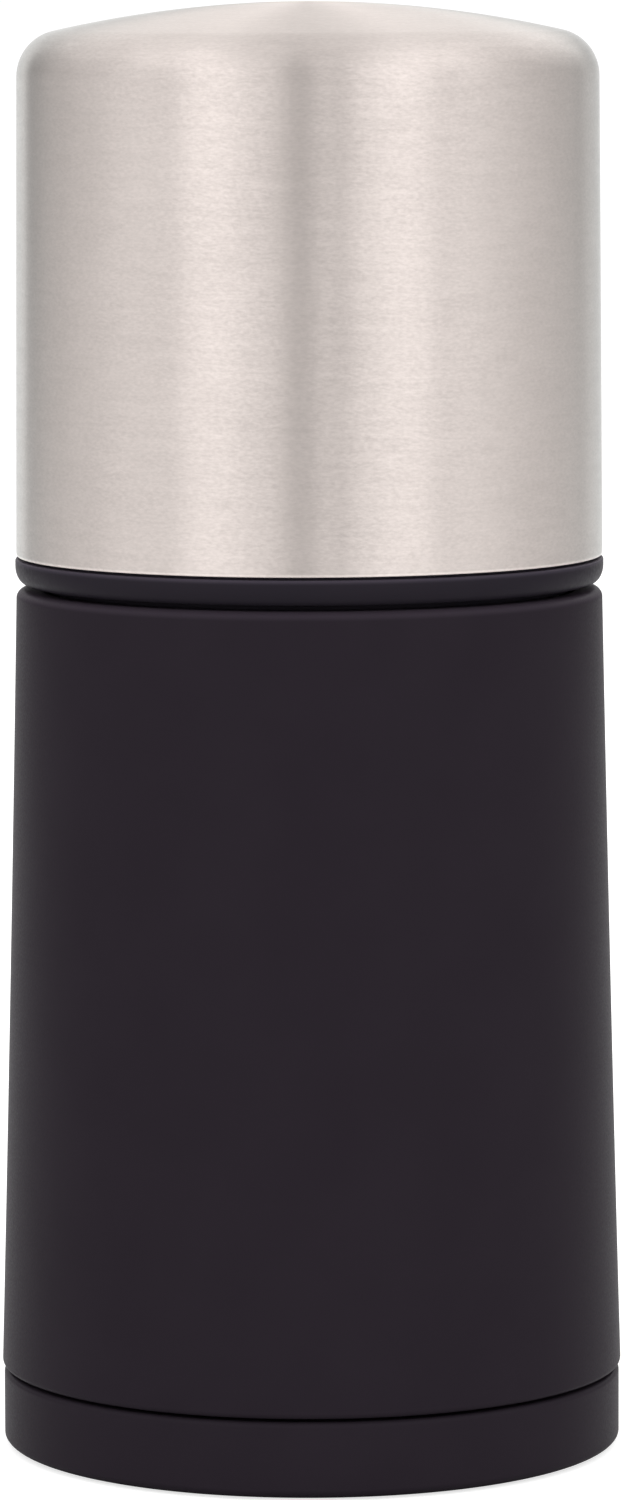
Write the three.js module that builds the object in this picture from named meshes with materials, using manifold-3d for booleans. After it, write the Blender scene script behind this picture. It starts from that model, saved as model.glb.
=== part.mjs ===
// A twist-top nutmeg grater that stands on its own base cap.
// Turning the steel-capped head turns a sprung, six-pronged plunger, which presses a nutmeg on to
// a fixed, photo-etched blade. The body unscrews from a locking ring to load the next nutmeg.
// Millimetres, +Z up, origin at the centre of the face that it stands on.

import * as THREE from 'three';
import { mergeVertices } from 'three/addons/utils/BufferGeometryUtils.js';
import Module from 'manifold-3d';

const wasm = await Module();
wasm.setup();

// Heights of the outside, from the table up
const BASE_CAP_HEIGHT = 6.85;
const BASE_SEAM = 0.35;
const BODY_HEIGHT = 70.5;
const HEAD_SEAM = 0.45;
const COLLAR_HEIGHT = 2.3;
const RIM_SEAM = 0.25;
const STEEL_CAP_HEIGHT = 49.4;

// Radii of the outside: base cap, collar and steel cap, each by its step from its neighbour
const BODY_BOTTOM_RADIUS = 28.07;
const BODY_TAPER = 1.75; // how much narrower the body's top is than its bottom
const BODY_BOW = 0.075; // how far the side is hollow at mid height, from a straight taper
const BASE_CAP_STEP = 0.16;
const COLLAR_OVERHANG = 0.1; // the collar stands out over the body's top edge
const STEEL_STEP = 0.09;
const STEEL_DRAFT = 0.31; // how much narrower the steel cap is at its shoulder
const SHOULDER_BEND = 4.66;
const DOME_RADIUS = 102.2;

// Edges that are rounded or broken
const BASE_EDGE_WIDTH = 1.85;
const BASE_EDGE_RISE = 0.97;
const BODY_TOP_BEND = 0.83;
const COLLAR_EDGE_WIDTH = 1.05;
const COLLAR_EDGE_RISE = 1.6;
const SMALL_EDGE = 0.3;

// Clearances
const SEAT_GAP = 0.3; // between two pieces that sit together
const RUNNING_GAP = 0.4; // round a piece that turns or slides in another
const THREAD_ROOM = 0.9; // the depth of the coarse thread between locking ring and body

// Base cap
const BASE_CAP_WALL = 1.81;
const BASE_FLOOR = 1.6;
const FOOT_RECESS = 0.6;
const FOOT_WIDTH = 4;

// Locking ring and its aroma seal
const RING_FLOOR_GAP = 0.6;
const RING_RIM_WALL = 2.25;
const RING_WEB = 1.5;
const RING_MOUTH_STEP = 1.2; // wider than the blade holder's mouth
const RING_SKIRT_HEIGHT = 8.3;
const RING_SKIRT_WALL = 1.8;
const GRIP_SLOTS = 12;
const GRIP_SLOT_WIDTH = 3;
const GRIP_SLOT_DEPTH = 1.1;
const SEAL_SECTION_RADIUS = 0.65;
const SEAL_TOP_LAND = 0.75;

// Blade and its holder
const BLADE_THICKNESS = 0.35;
const TOOTH_RING_STEP = 2.65;
const TOOTH_MARGIN = 1; // between the outermost teeth and the chamber's wall
const TOOTH_PITCH = 4.4;
const TOOTH_WIDTH = 1.7;
const TOOTH_LENGTH = 1.5;
const TOOTH_HEIGHT = 0.6;
const TOOTH_OVERHANG = 0.4; // the cutting edge leans over its window
const WINDOW_TAPER = 0.6; // a window's far width as a share of its near width
const HOLDER_FLOOR = 2;
const HOLDER_WALL = 1.3;
const HOLDER_MOUTH_STEP = 1.1; // wider than the chamber
const HOLDER_UPSTAND_HEIGHT = 5.6;
const CLAMP_THICKNESS = 1.5;
const CLAMP_WIDTH = 3.1;
const CLAMP_BORE_GAP = 0.5;

// Body shell and the chamber tube inside it
const BODY_RIM_WALL = 2.87;
const BODY_WALL = 2.27;
const DECK_THICKNESS = 2.6;
const DECK_RECESS = 1.4;
const DECK_RIM_WALL = 2.32;
const CHAMBER_WALL = 1.5;
const CHAMBER_FLANGE = 2;
const KEY_WIDTH = 3;
const KEY_HEIGHT = 6.2;
const CHAMBER_SCREW_INSET = 4.6; // from the chamber's outer wall to its screws
const BOSS_RADIUS = 2.8;
const BOSS_HEIGHT = 13;
const BOSS_WEB = 2;
const BEARING_THICKNESS = 0.6;
const BEARING_EDGE = 1.2; // from the washer's edge to the head's spigot
const BEARING_SEAT = 6.2;

// Head core: the black moulding inside the steel cap
const STEEL_THICKNESS = 0.7;
const CORE_WALL = 1.7;
const CORE_WALL_DROP = 9; // from the top of the steel cap to the top of the core's wall
const CORE_FLOOR = 2.5;
const DRUM_WALL = 4.4;
const DRIVE_BOSS_RADIUS = 6.5;
const DRIVE_BOSS_HEIGHT = 10.6;
const CORE_RIBS = 6;
const CORE_RIB_HEIGHT = 7.6;
const CORE_RIB_THICKNESS = 1.4;
const RETAINER_THICKNESS = 2;
const RETAINER_OVERLAP = 3;

// Plunger
const ROD_FLATS = 6;
const CARRIER_GAP = 0.7;
const CARRIER_THICKNESS = 3.5;
const CARRIER_HUB_RADIUS = 5;
const CARRIER_HUB_HEIGHT = 3.5;
const SOCKET_FLOOR = 2;
const PRONGS = 6;
const PRONG_INSET = 5.6; // from the carrier's edge to the prongs
const PRONG_RADIUS = 0.9;
const PRONG_LENGTH = 5;
const PRONG_POINT = 2.4;
const PRONG_ROOT = 2.2;
const PRONG_TIP_GAP = 1.2; // from the teeth to the points when no nutmeg is loaded
const STOP_WASHER_RADIUS = 5;
const STOP_WASHER_THICKNESS = 1;

// Compression spring
const WIRE_RADIUS = 0.5;
const COIL_RADIUS = 6.6;
const ACTIVE_TURNS = 10;
const END_TURNS = 1; // closed turns at each end
const END_PITCH = 1.55;

// Screws: the head sits on what it holds, the shank goes into a hole with SEAT_GAP round it
const SMALL_HEAD_RADIUS = 1.35;
const SMALL_HEAD_HEIGHT = 1;
const SMALL_SHANK_RADIUS = 0.65;
const MEDIUM_HEAD_RADIUS = 1.9;
const MEDIUM_HEAD_HEIGHT = 1.3;
const MEDIUM_SHANK_RADIUS = 0.95;
const LARGE_HEAD_RADIUS = 2.4;
const LARGE_HEAD_HEIGHT = 1.6;
const LARGE_SHANK_RADIUS = 1.1;
const HEAD_TOP_SHARE = 0.7; // a screw head's flat top, as a share of its width
const HEAD_SIDE_SHARE = 0.5; // a screw head's upright side, as a share of its height
const BLADE_SCREW_REACH = 4;
const CHAMBER_SCREW_REACH = 11;
const RETAINER_SCREW_REACH = 8;
const ROD_SCREW_REACH = 8;
const SCREWS_EACH = 3;

// Degrees round Z at which the first screw or prong of a ring lies
const BLADE_SCREW_START = 60;
const CHAMBER_SCREW_START = 60;
const RETAINER_SCREW_START = 90;
const PRONG_START = 30;

// Facets
const SIDES_OUTER = 48;
const SIDES_INNER = 36;
const SIDES_SMALL = 16;
const SIDES_SCREW = 8;
const SIDES_HOLE = 8;
const SIDES_PRONG = 8;
const SPRING_STEPS = 8; // along each turn
const SPRING_SIDES = 5;
const SEAL_SIDES = 6;
const SHOULDER_STEPS = 6;
const DOME_STEPS = 4;
const EDGE_STEPS = 4; // round the outer edges of base cap, body and collar
const BODY_SIDE_STEPS = 4; // up the body's slightly hollow side
const BODY_INSIDE_STEPS = 2;
const CUT_PAST = 1; // how far a cutting shape runs on past the face it cuts
const MERGE_DISTANCE = 1e-4; // corners nearer than this are one

// Radii, worked out from the sizes above, each from the piece next to it
const bodyTopRadius = BODY_BOTTOM_RADIUS - BODY_TAPER;
const baseCapRadius = BODY_BOTTOM_RADIUS - BASE_CAP_STEP;
const bodyBore = BODY_BOTTOM_RADIUS - BODY_RIM_WALL;
const skirtRadius = bodyBore - THREAD_ROOM;
const skirtInner = skirtRadius - RING_SKIRT_WALL;
const holderRadius = skirtInner - RUNNING_GAP;
const upstandInner = holderRadius - HOLDER_WALL;
const bladeRadius = upstandInner - RUNNING_GAP;
const clampBore = bladeRadius - CLAMP_WIDTH;
const bladeScrewCircle = (bladeRadius + clampBore) / 2;
const chamberOuter = clampBore - CLAMP_BORE_GAP;
const chamberRadius = chamberOuter - CHAMBER_WALL;
const chamberScrewCircle = chamberOuter + CHAMBER_SCREW_INSET;
const holderMouth = chamberRadius + HOLDER_MOUTH_STEP;
const ringMouth = holderMouth + RING_MOUTH_STEP;
const toothRings = Math.floor((chamberRadius - TOOTH_MARGIN - TOOTH_WIDTH / 2) / TOOTH_RING_STEP);
const carrierRadius = chamberRadius - CARRIER_GAP;
const prongCircle = carrierRadius - PRONG_INSET;
const collarRadius = bodyTopRadius + COLLAR_OVERHANG;
const steelRimRadius = collarRadius - STEEL_STEP;
const steelShoulderRadius = steelRimRadius - STEEL_DRAFT;
const deckRecessRadius = bodyTopRadius - DECK_RIM_WALL;
const spigotRadius = deckRecessRadius - RUNNING_GAP;
const deckBore = spigotRadius - BEARING_SEAT;

// Levels, worked out from the sizes above
const bodyBottom = BASE_CAP_HEIGHT + BASE_SEAM;
const bodyTop = bodyBottom + BODY_HEIGHT;
const collarBottom = bodyTop + HEAD_SEAM;
const collarTop = collarBottom + COLLAR_HEIGHT;
const steelRim = collarTop + RIM_SEAM;
const steelTop = steelRim + STEEL_CAP_HEIGHT;
const domeCentre = steelTop - DOME_RADIUS;
const bendCentreRadius = steelShoulderRadius - SHOULDER_BEND;
const steelShoulder = domeCentre + Math.sqrt((DOME_RADIUS - SHOULDER_BEND) ** 2 - bendCentreRadius ** 2);

const baseFloorTop = FOOT_RECESS + BASE_FLOOR;
const baseInnerRadius = baseCapRadius - BASE_CAP_WALL;
const ringBottom = baseFloorTop + RING_FLOOR_GAP;
const ringShoulder = bodyBottom - BASE_SEAM;
const sealOuterRadius = baseInnerRadius - SEAT_GAP;
const sealCentreRadius = sealOuterRadius - SEAL_SECTION_RADIUS;
const grooveHalf = SEAL_SECTION_RADIUS + SEAT_GAP;
const sealLevel = ringShoulder - SEAL_TOP_LAND - grooveHalf;
const grooveFloorRadius = sealCentreRadius - SEAL_SECTION_RADIUS - SEAT_GAP;
const ringRimRadius = (baseInnerRadius + bodyBore) / 2;
const ringRimInner = ringRimRadius - RING_RIM_WALL;
const webTop = bodyBottom;
const skirtTop = webTop + RING_SKIRT_HEIGHT;

const holderBottom = webTop + SEAT_GAP;
const holderTop = holderBottom + HOLDER_FLOOR;
const upstandTop = holderTop + HOLDER_UPSTAND_HEIGHT;
const bladeBottom = holderTop + SEAT_GAP;
const bladeTop = bladeBottom + BLADE_THICKNESS;
const teethTop = bladeTop + TOOTH_HEIGHT;
const clampBottom = bladeTop + SEAT_GAP;
const clampTop = clampBottom + CLAMP_THICKNESS;

const chamberBottom = bladeTop + SEAT_GAP;
const keyBottom = clampTop + RUNNING_GAP;
const flangeBottom = keyBottom + KEY_HEIGHT;
const flangeTop = flangeBottom + CHAMBER_FLANGE;
const flangeRadius = bodyBore - RUNNING_GAP;
const bossBottom = flangeTop + SEAT_GAP;

const deckTop = bodyTop - DECK_RECESS;
const deckBottom = deckTop - DECK_THICKNESS;
const bearingBottom = deckTop + SEAT_GAP;
const bearingTop = bearingBottom + BEARING_THICKNESS;
const coreBottom = bearingTop + SEAT_GAP;
const coreFloorBottom = collarTop - CORE_FLOOR;
const coreWallTop = steelTop - CORE_WALL_DROP;
const drumRadius = deckBore - RUNNING_GAP;
const drumInner = drumRadius - DRUM_WALL;
const drumBottom = deckBottom - SEAT_GAP;
const driveBossTop = collarTop + DRIVE_BOSS_HEIGHT;
const retainerTop = drumBottom - SEAT_GAP;
const retainerBottom = retainerTop - RETAINER_THICKNESS;
const retainerScrewCircle = (drumRadius + drumInner) / 2;
const chamberTop = retainerBottom - SEAT_GAP - MEDIUM_HEAD_HEIGHT - 2 * RUNNING_GAP;

const prongTips = teethTop + PRONG_TIP_GAP;
const carrierBottom = prongTips + PRONG_LENGTH;
const carrierTop = carrierBottom + CARRIER_THICKNESS;
const carrierHubTop = carrierTop + CARRIER_HUB_HEIGHT;
const socketBottom = carrierBottom + SOCKET_FLOOR;
const rodBottom = socketBottom + SEAT_GAP;
const rodTop = driveBossTop;
const springBottom = carrierTop + SEAT_GAP;
const springTop = coreFloorBottom - SEAT_GAP;
const stopWasherBottom = rodTop + SEAT_GAP;
const stopWasherTop = stopWasherBottom + STOP_WASHER_THICKNESS;

const smallScrew = {
  headRadius: SMALL_HEAD_RADIUS,
  headHeight: SMALL_HEAD_HEIGHT,
  shankRadius: SMALL_SHANK_RADIUS,
};
const mediumScrew = {
  headRadius: MEDIUM_HEAD_RADIUS,
  headHeight: MEDIUM_HEAD_HEIGHT,
  shankRadius: MEDIUM_SHANK_RADIUS,
};
const largeScrew = {
  headRadius: LARGE_HEAD_RADIUS,
  headHeight: LARGE_HEAD_HEIGHT,
  shankRadius: LARGE_SHANK_RADIUS,
};

// Rings of like screws: each clamps a face, from below it if the screws point up
const bladeScrews = {
  name: 'blade_screw',
  size: smallScrew,
  reach: BLADE_SCREW_REACH,
  circle: bladeScrewCircle,
  start: BLADE_SCREW_START,
  face: clampTop,
  pointsUp: false,
};
const chamberScrews = {
  name: 'chamber_screw',
  size: mediumScrew,
  reach: CHAMBER_SCREW_REACH,
  circle: chamberScrewCircle,
  start: CHAMBER_SCREW_START,
  face: flangeBottom,
  pointsUp: true,
};
const retainerScrews = {
  name: 'retaining_screw',
  size: mediumScrew,
  reach: RETAINER_SCREW_REACH,
  circle: retainerScrewCircle,
  start: RETAINER_SCREW_START,
  face: retainerBottom,
  pointsUp: true,
};

// Finishes
function finish(color, roughness, metalness) {
  return new THREE.MeshStandardMaterial({ color, roughness, metalness });
}

const softBlack = finish(0x2b282c, 0.72, 0);
const mouldedBlack = finish(0x26252a, 0.5, 0);
const innerPlastic = finish(0x3a393d, 0.5, 0);
const brushedSteel = finish(0xcfc8c2, 0.36, 1);
const bladeSteel = finish(0xc4c6c8, 0.25, 1);
const screwSteel = finish(0xb4b6b8, 0.35, 1);
const springSteel = finish(0xa7a9ab, 0.35, 1);
const acetal = finish(0xe6e4dc, 0.45, 0);
const sealRubber = finish(0x1d1d1f, 0.8, 0);

const grater = new THREE.Group();

// A profile in radius and height, turned about Z. The profile ends on the axis or closes on itself.
function revolve(profile, sides) {
  const points = profile.map(([r, z]) => new THREE.Vector2(r, z));
  const closed = points[0].x > 0 || points.at(-1).x > 0;
  if (THREE.ShapeUtils.area(points) > 0) points.reverse();
  if (closed) points.push(points[0].clone());
  return new THREE.LatheGeometry(points.reverse(), sides).rotateX(Math.PI / 2);
}

// An arc of a profile about (r, z), from one angle to another, in degrees from the horizontal.
// It is part of a circle, or of an ellipse if its rise differs from its width.
function arc(r, z, width, from, to, steps, rise = width) {
  return Array.from({ length: steps + 1 }, (_, i) => {
    const angle = THREE.MathUtils.degToRad(THREE.MathUtils.lerp(from, to, i / steps));
    return [r + width * Math.cos(angle), z + rise * Math.sin(angle)];
  });
}

function tube(inner, outer, bottom, top, sides) {
  return revolve([[inner, bottom], [outer, bottom], [outer, top], [inner, top]], sides);
}

function rod(radius, bottom, top, sides) {
  const height = top - bottom;
  return new THREE.CylinderGeometry(radius, radius, height, sides)
    .rotateX(Math.PI / 2)
    .translate(0, 0, bottom + height / 2);
}

// A hexagonal bar with its flats facing along Y.
function hexagon(flats, bottom, top) {
  return rod(flats / Math.sqrt(3), bottom, top, 6).rotateZ(Math.PI / 6);
}

// A block from one radius to another along X.
function spoke(from, to, width, bottom, top) {
  const block = new THREE.BoxGeometry(to - from, width, top - bottom);
  return block.translate((from + to) / 2, 0, (bottom + top) / 2);
}

// Copies of a shape at equal steps round Z; start is the first one's angle in degrees.
function around(count, start, shape) {
  return Array.from({ length: count }, (_, i) => {
    const angle = THREE.MathUtils.degToRad(start) + (i / count) * 2 * Math.PI;
    return shape().rotateZ(angle);
  });
}

// Round holes for a ring of screws, with SEAT_GAP round each shank.
function screwHoles({ size, circle, start }, bottom, top) {
  const hole = () => rod(size.shankRadius + SEAT_GAP, bottom, top, SIDES_HOLE).translate(circle, 0, 0);
  return around(SCREWS_EACH, start, hole);
}

// The place of one of several pieces on a circle, as x and y.
function onCircle(radius, index, count, startAngle) {
  const angle = THREE.MathUtils.degToRad(startAngle) + (index / count) * 2 * Math.PI;
  return [radius * Math.cos(angle), radius * Math.sin(angle)];
}

function toSolid(geometry) {
  const bare = new THREE.BufferGeometry().setAttribute('position', geometry.getAttribute('position'));
  bare.setIndex(geometry.index);
  const merged = mergeVertices(bare, MERGE_DISTANCE);
  const mesh = new wasm.Mesh({
    numProp: 3,
    vertProperties: merged.attributes.position.array,
    triVerts: new Uint32Array(merged.index.array),
  });
  return new wasm.Manifold(mesh);
}

function toGeometry(solid) {
  const mesh = solid.getMesh();
  const geometry = new THREE.BufferGeometry();
  geometry.setAttribute('position', new THREE.BufferAttribute(mesh.vertProperties, mesh.numProp));
  geometry.setIndex(new THREE.BufferAttribute(mesh.triVerts, 1));
  const flat = geometry.toNonIndexed();
  flat.computeVertexNormals();
  return flat;
}

// One body, with other shapes joined to it and others cut out of it.
function combine(body, { joined = [], cut = [] }) {
  let solid = toSolid(body);
  for (const shape of joined) solid = solid.add(toSolid(shape));
  for (const shape of cut) solid = solid.subtract(toSolid(shape));
  return toGeometry(solid);
}

function add(name, geometry, material) {
  const mesh = new THREE.Mesh(geometry, material);
  mesh.name = name;
  grater.add(mesh);
  return mesh;
}

// The steel cap's outline from its rim to the top of its dome, a distance inside the outer face.
function capOutline(inset, shoulderSteps, domeSteps) {
  const meet = THREE.MathUtils.radToDeg(Math.atan2(steelShoulder - domeCentre, bendCentreRadius));
  return [
    [steelRimRadius - inset, steelRim],
    ...arc(bendCentreRadius, steelShoulder, SHOULDER_BEND - inset, 0, meet, shoulderSteps),
    ...arc(0, domeCentre, DOME_RADIUS - inset, meet, 90, domeSteps).slice(1, -1),
    [0, steelTop - inset],
  ];
}

// Outer radius of the steel cap's straight side at a height.
function capRadius(z) {
  const t = (z - steelRim) / (steelShoulder - steelRim);
  return THREE.MathUtils.lerp(steelRimRadius, steelShoulderRadius, t);
}

// Outer radius of the body's side at a height: a taper with a slight hollow.
function bodyRadius(z) {
  const t = (z - bodyBottom) / BODY_HEIGHT;
  const hollow = 4 * t * (1 - t) * BODY_BOW;
  return THREE.MathUtils.lerp(BODY_BOTTOM_RADIUS, bodyTopRadius, t) - hollow;
}

// Heights at equal steps, for a side that follows a curve.
function heights(bottom, top, steps) {
  return Array.from({ length: steps + 1 }, (_, i) => THREE.MathUtils.lerp(bottom, top, i / steps));
}

function addSteelCap() {
  const outer = capOutline(0, SHOULDER_STEPS, DOME_STEPS);
  const inner = capOutline(STEEL_THICKNESS, SHOULDER_STEPS / 2, DOME_STEPS / 2);
  add('steel_cap', revolve([...outer, ...inner.reverse()], SIDES_OUTER), brushedSteel);
}

function addHeadCore() {
  const collarFlat = collarRadius - COLLAR_EDGE_WIDTH;
  const collarEdge = collarBottom + COLLAR_EDGE_RISE;
  const wallGap = STEEL_THICKNESS + SEAT_GAP;
  const wallFoot = capRadius(steelRim) - wallGap;
  const wallHead = capRadius(coreWallTop) - wallGap;
  const profile = [
    [0, coreFloorBottom],
    [drumInner, coreFloorBottom],
    [drumInner, drumBottom],
    [drumRadius, drumBottom],
    [drumRadius, coreBottom],
    [spigotRadius, coreBottom],
    [spigotRadius, collarBottom],
    ...arc(collarFlat, collarEdge, COLLAR_EDGE_WIDTH, -90, 0, EDGE_STEPS, COLLAR_EDGE_RISE),
    [collarRadius, collarTop - SMALL_EDGE],
    [collarRadius - SMALL_EDGE, collarTop],
    [wallFoot, collarTop],
    [wallHead, coreWallTop],
    [wallHead - CORE_WALL, coreWallTop],
    [wallFoot - CORE_WALL, collarTop],
    [DRIVE_BOSS_RADIUS, collarTop],
    [DRIVE_BOSS_RADIUS, driveBossTop],
    [0, driveBossTop],
  ];
  const ribFrom = DRIVE_BOSS_RADIUS / 2;
  const ribTo = wallFoot - CORE_WALL / 2;
  const ribTop = collarTop + CORE_RIB_HEIGHT;
  const rib = () => spoke(ribFrom, ribTo, CORE_RIB_THICKNESS, collarTop - SMALL_EDGE, ribTop);
  const holeTop = retainerBottom + RETAINER_SCREW_REACH;
  const bore = hexagon(ROD_FLATS + 2 * SEAT_GAP, coreFloorBottom - CUT_PAST, driveBossTop + CUT_PAST);
  const core = combine(revolve(profile, SIDES_INNER), {
    joined: around(CORE_RIBS, 0, rib),
    cut: [bore, ...screwHoles(retainerScrews, drumBottom - CUT_PAST, holeTop)],
  });
  add('head_core', core, mouldedBlack);
}

function addRetainer() {
  const ring = tube(drumInner, drumRadius + RETAINER_OVERLAP, retainerBottom, retainerTop, SIDES_INNER);
  const cut = screwHoles(retainerScrews, retainerBottom - CUT_PAST, retainerTop + CUT_PAST);
  add('retaining_ring', combine(ring, { cut }), innerPlastic);
}

// A pan-headed screw whose head's seat is at the origin and whose shank points up.
function screwGeometry({ headRadius, headHeight, shankRadius }, reach) {
  const tip = shankRadius;
  return revolve(
    [
      [0, -headHeight],
      [headRadius * HEAD_TOP_SHARE, -headHeight],
      [headRadius, -headHeight * HEAD_SIDE_SHARE],
      [headRadius, 0],
      [shankRadius, 0],
      [shankRadius, reach - tip],
      [0, reach],
    ],
    SIDES_SCREW,
  );
}

// Adds a ring of like screws, numbered from one, held SEAT_GAP off the face that they clamp.
function addScrews({ name, size, reach, circle, start, face, pointsUp }) {
  for (let i = 0; i < SCREWS_EACH; i++) {
    const screw = add(`${name}_${i + 1}`, screwGeometry(size, reach), screwSteel);
    const seat = face + (pointsUp ? -SEAT_GAP : SEAT_GAP);
    screw.position.set(...onCircle(circle, i, SCREWS_EACH, start), seat);
    if (!pointsUp) screw.rotation.x = Math.PI;
  }
}

function addBodyShell() {
  const shoulder = bodyTop - BODY_TOP_BEND;
  const sideLevels = heights(bodyBottom + SMALL_EDGE, shoulder, BODY_SIDE_STEPS);
  const insideLevels = heights(deckBottom, bossBottom, BODY_INSIDE_STEPS);
  const profile = [
    [bodyBore, bodyBottom],
    [BODY_BOTTOM_RADIUS - SMALL_EDGE, bodyBottom],
    ...sideLevels.map((z) => [bodyRadius(z), z]),
    ...arc(bodyRadius(shoulder) - BODY_TOP_BEND, shoulder, BODY_TOP_BEND, 0, 90, EDGE_STEPS).slice(1),
    [deckRecessRadius, bodyTop],
    [deckRecessRadius, deckTop],
    [deckBore, deckTop],
    [deckBore, deckBottom],
    ...insideLevels.map((z) => [bodyRadius(z) - BODY_WALL, z]),
    [bodyBore, bossBottom],
  ];
  const bossTop = bossBottom + BOSS_HEIGHT;
  const pillar = () =>
    rod(BOSS_RADIUS, bossBottom, bossTop, SIDES_SMALL).translate(chamberScrewCircle, 0, 0);
  const wallMiddle = bodyRadius(bossTop) - BODY_WALL / 2;
  const web = () => spoke(chamberScrewCircle, wallMiddle, BOSS_WEB, bossBottom, bossTop);
  const pillars = around(SCREWS_EACH, CHAMBER_SCREW_START, pillar);
  const webs = around(SCREWS_EACH, CHAMBER_SCREW_START, web);
  const shell = combine(revolve(profile, SIDES_OUTER), {
    joined: [...pillars, ...webs],
    cut: screwHoles(chamberScrews, bossBottom - CUT_PAST, flangeBottom + CHAMBER_SCREW_REACH),
  });
  add('body_shell', shell, softBlack);
}

function addChamberTube() {
  const profile = [
    [chamberRadius, chamberBottom],
    [chamberOuter, chamberBottom],
    [chamberOuter, flangeBottom],
    [flangeRadius, flangeBottom],
    [flangeRadius, flangeTop],
    [chamberOuter, flangeTop],
    [chamberOuter, chamberTop],
    [chamberRadius, chamberTop],
  ];
  const keyFrom = chamberOuter - CHAMBER_WALL / 2;
  const keyTo = holderRadius - RUNNING_GAP;
  const keyTop = flangeBottom + CHAMBER_FLANGE / 2;
  const key = () => spoke(keyFrom, keyTo, KEY_WIDTH, keyBottom, keyTop);
  const chamber = combine(revolve(profile, SIDES_INNER), {
    joined: around(SCREWS_EACH, 0, key),
    cut: screwHoles(chamberScrews, flangeBottom - CUT_PAST, flangeTop + CUT_PAST),
  });
  add('chamber_tube', chamber, innerPlastic);
}

function addBearingWasher() {
  const bore = deckBore + RUNNING_GAP;
  const edge = spigotRadius - BEARING_EDGE;
  const washer = tube(bore, edge, bearingBottom, bearingTop, SIDES_INNER);
  add('bearing_washer', washer, acetal);
}

function addLockingRing() {
  const profile = [
    [ringMouth, webTop - RING_WEB],
    [ringRimInner, webTop - RING_WEB],
    [ringRimInner, ringBottom],
    [ringRimRadius, ringBottom],
    [ringRimRadius, sealLevel - grooveHalf],
    [grooveFloorRadius, sealLevel - grooveHalf],
    [grooveFloorRadius, sealLevel + grooveHalf],
    [ringRimRadius, sealLevel + grooveHalf],
    [ringRimRadius, ringShoulder],
    [skirtRadius, ringShoulder],
    [skirtRadius, skirtTop],
    [skirtInner, skirtTop],
    [skirtInner, webTop],
    [ringMouth, webTop],
  ];
  const slot = () =>
    spoke(
      ringRimInner - CUT_PAST,
      ringRimRadius + CUT_PAST,
      GRIP_SLOT_WIDTH,
      ringBottom - CUT_PAST,
      ringBottom + GRIP_SLOT_DEPTH,
    );
  const ring = combine(revolve(profile, SIDES_INNER), { cut: around(GRIP_SLOTS, 0, slot) });
  add('locking_ring', ring, mouldedBlack);
}

function addSealRing() {
  const section = arc(sealCentreRadius, sealLevel, SEAL_SECTION_RADIUS, 0, 360, SEAL_SIDES).slice(0, -1);
  add('seal_ring', revolve(section, SIDES_INNER), sealRubber);
}

function addBladeHolder() {
  const profile = [
    [holderMouth, holderBottom],
    [holderRadius, holderBottom],
    [holderRadius, upstandTop],
    [upstandInner, upstandTop],
    [upstandInner, holderTop],
    [holderMouth, holderTop],
  ];
  const notch = () =>
    spoke(
      upstandInner - CUT_PAST,
      holderRadius + CUT_PAST,
      KEY_WIDTH + 2 * RUNNING_GAP,
      keyBottom - RUNNING_GAP,
      upstandTop + CUT_PAST,
    );
  const holes = screwHoles(bladeScrews, holderBottom - CUT_PAST, holderTop + CUT_PAST);
  const holder = combine(revolve(profile, SIDES_INNER), {
    cut: [...around(SCREWS_EACH, 0, notch), ...holes],
  });
  add('blade_holder', holder, mouldedBlack);
}

function addClampRing() {
  const ring = tube(clampBore, bladeRadius, clampBottom, clampTop, SIDES_INNER);
  const cut = screwHoles(bladeScrews, clampBottom - CUT_PAST, clampTop + CUT_PAST);
  add('blade_clamp_ring', combine(ring, { cut }), innerPlastic);
}

// Calls back with the radius and angle of each tooth, in rings staggered from one to the next.
function eachTooth(callback) {
  for (let ring = 1; ring <= toothRings; ring++) {
    const radius = ring * TOOTH_RING_STEP;
    const count = Math.round((2 * Math.PI * radius) / TOOTH_PITCH);
    for (let i = 0; i < count; i++) callback(radius, ((i + ring / 2) / count) * 2 * Math.PI);
  }
}

// The etched blade: a thin disc with a window in front of each tooth and the tooth's lip behind it.
function addBlade() {
  const half = TOOTH_WIDTH / 2;
  const far = half * WINDOW_TAPER;
  const windowOutline = new THREE.Shape([
    new THREE.Vector2(-half, 0),
    new THREE.Vector2(half, 0),
    new THREE.Vector2(far, TOOTH_LENGTH),
    new THREE.Vector2(-far, TOOTH_LENGTH),
  ]);
  const lipOutline = new THREE.Shape([
    new THREE.Vector2(-TOOTH_LENGTH, 0),
    new THREE.Vector2(-TOOTH_LENGTH, -BLADE_THICKNESS / 2),
    new THREE.Vector2(0, -BLADE_THICKNESS / 2),
    new THREE.Vector2(TOOTH_OVERHANG, TOOTH_HEIGHT),
  ]);
  const windows = [];
  const lips = [];
  eachTooth((radius, angle) => {
    const cutDepth = BLADE_THICKNESS + 2 * CUT_PAST;
    const window = new THREE.ExtrudeGeometry(windowOutline, { depth: cutDepth, bevelEnabled: false })
      .translate(radius, 0, bladeBottom - CUT_PAST)
      .rotateZ(angle);
    const lip = new THREE.ExtrudeGeometry(lipOutline, { depth: TOOTH_WIDTH, bevelEnabled: false })
      .translate(0, 0, -half)
      .rotateX(Math.PI / 2)
      .rotateZ(Math.PI / 2)
      .translate(radius, 0, bladeTop)
      .rotateZ(angle);
    windows.push(window);
    lips.push(lip);
  });
  const disc = rod(bladeRadius, bladeBottom, bladeTop, SIDES_INNER);
  const holes = screwHoles(bladeScrews, bladeBottom - CUT_PAST, bladeTop + CUT_PAST);
  const pierced = combine(disc, { cut: [...windows, ...holes] });
  add('blade_disc', combine(pierced, { joined: lips }), bladeSteel);
}

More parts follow.
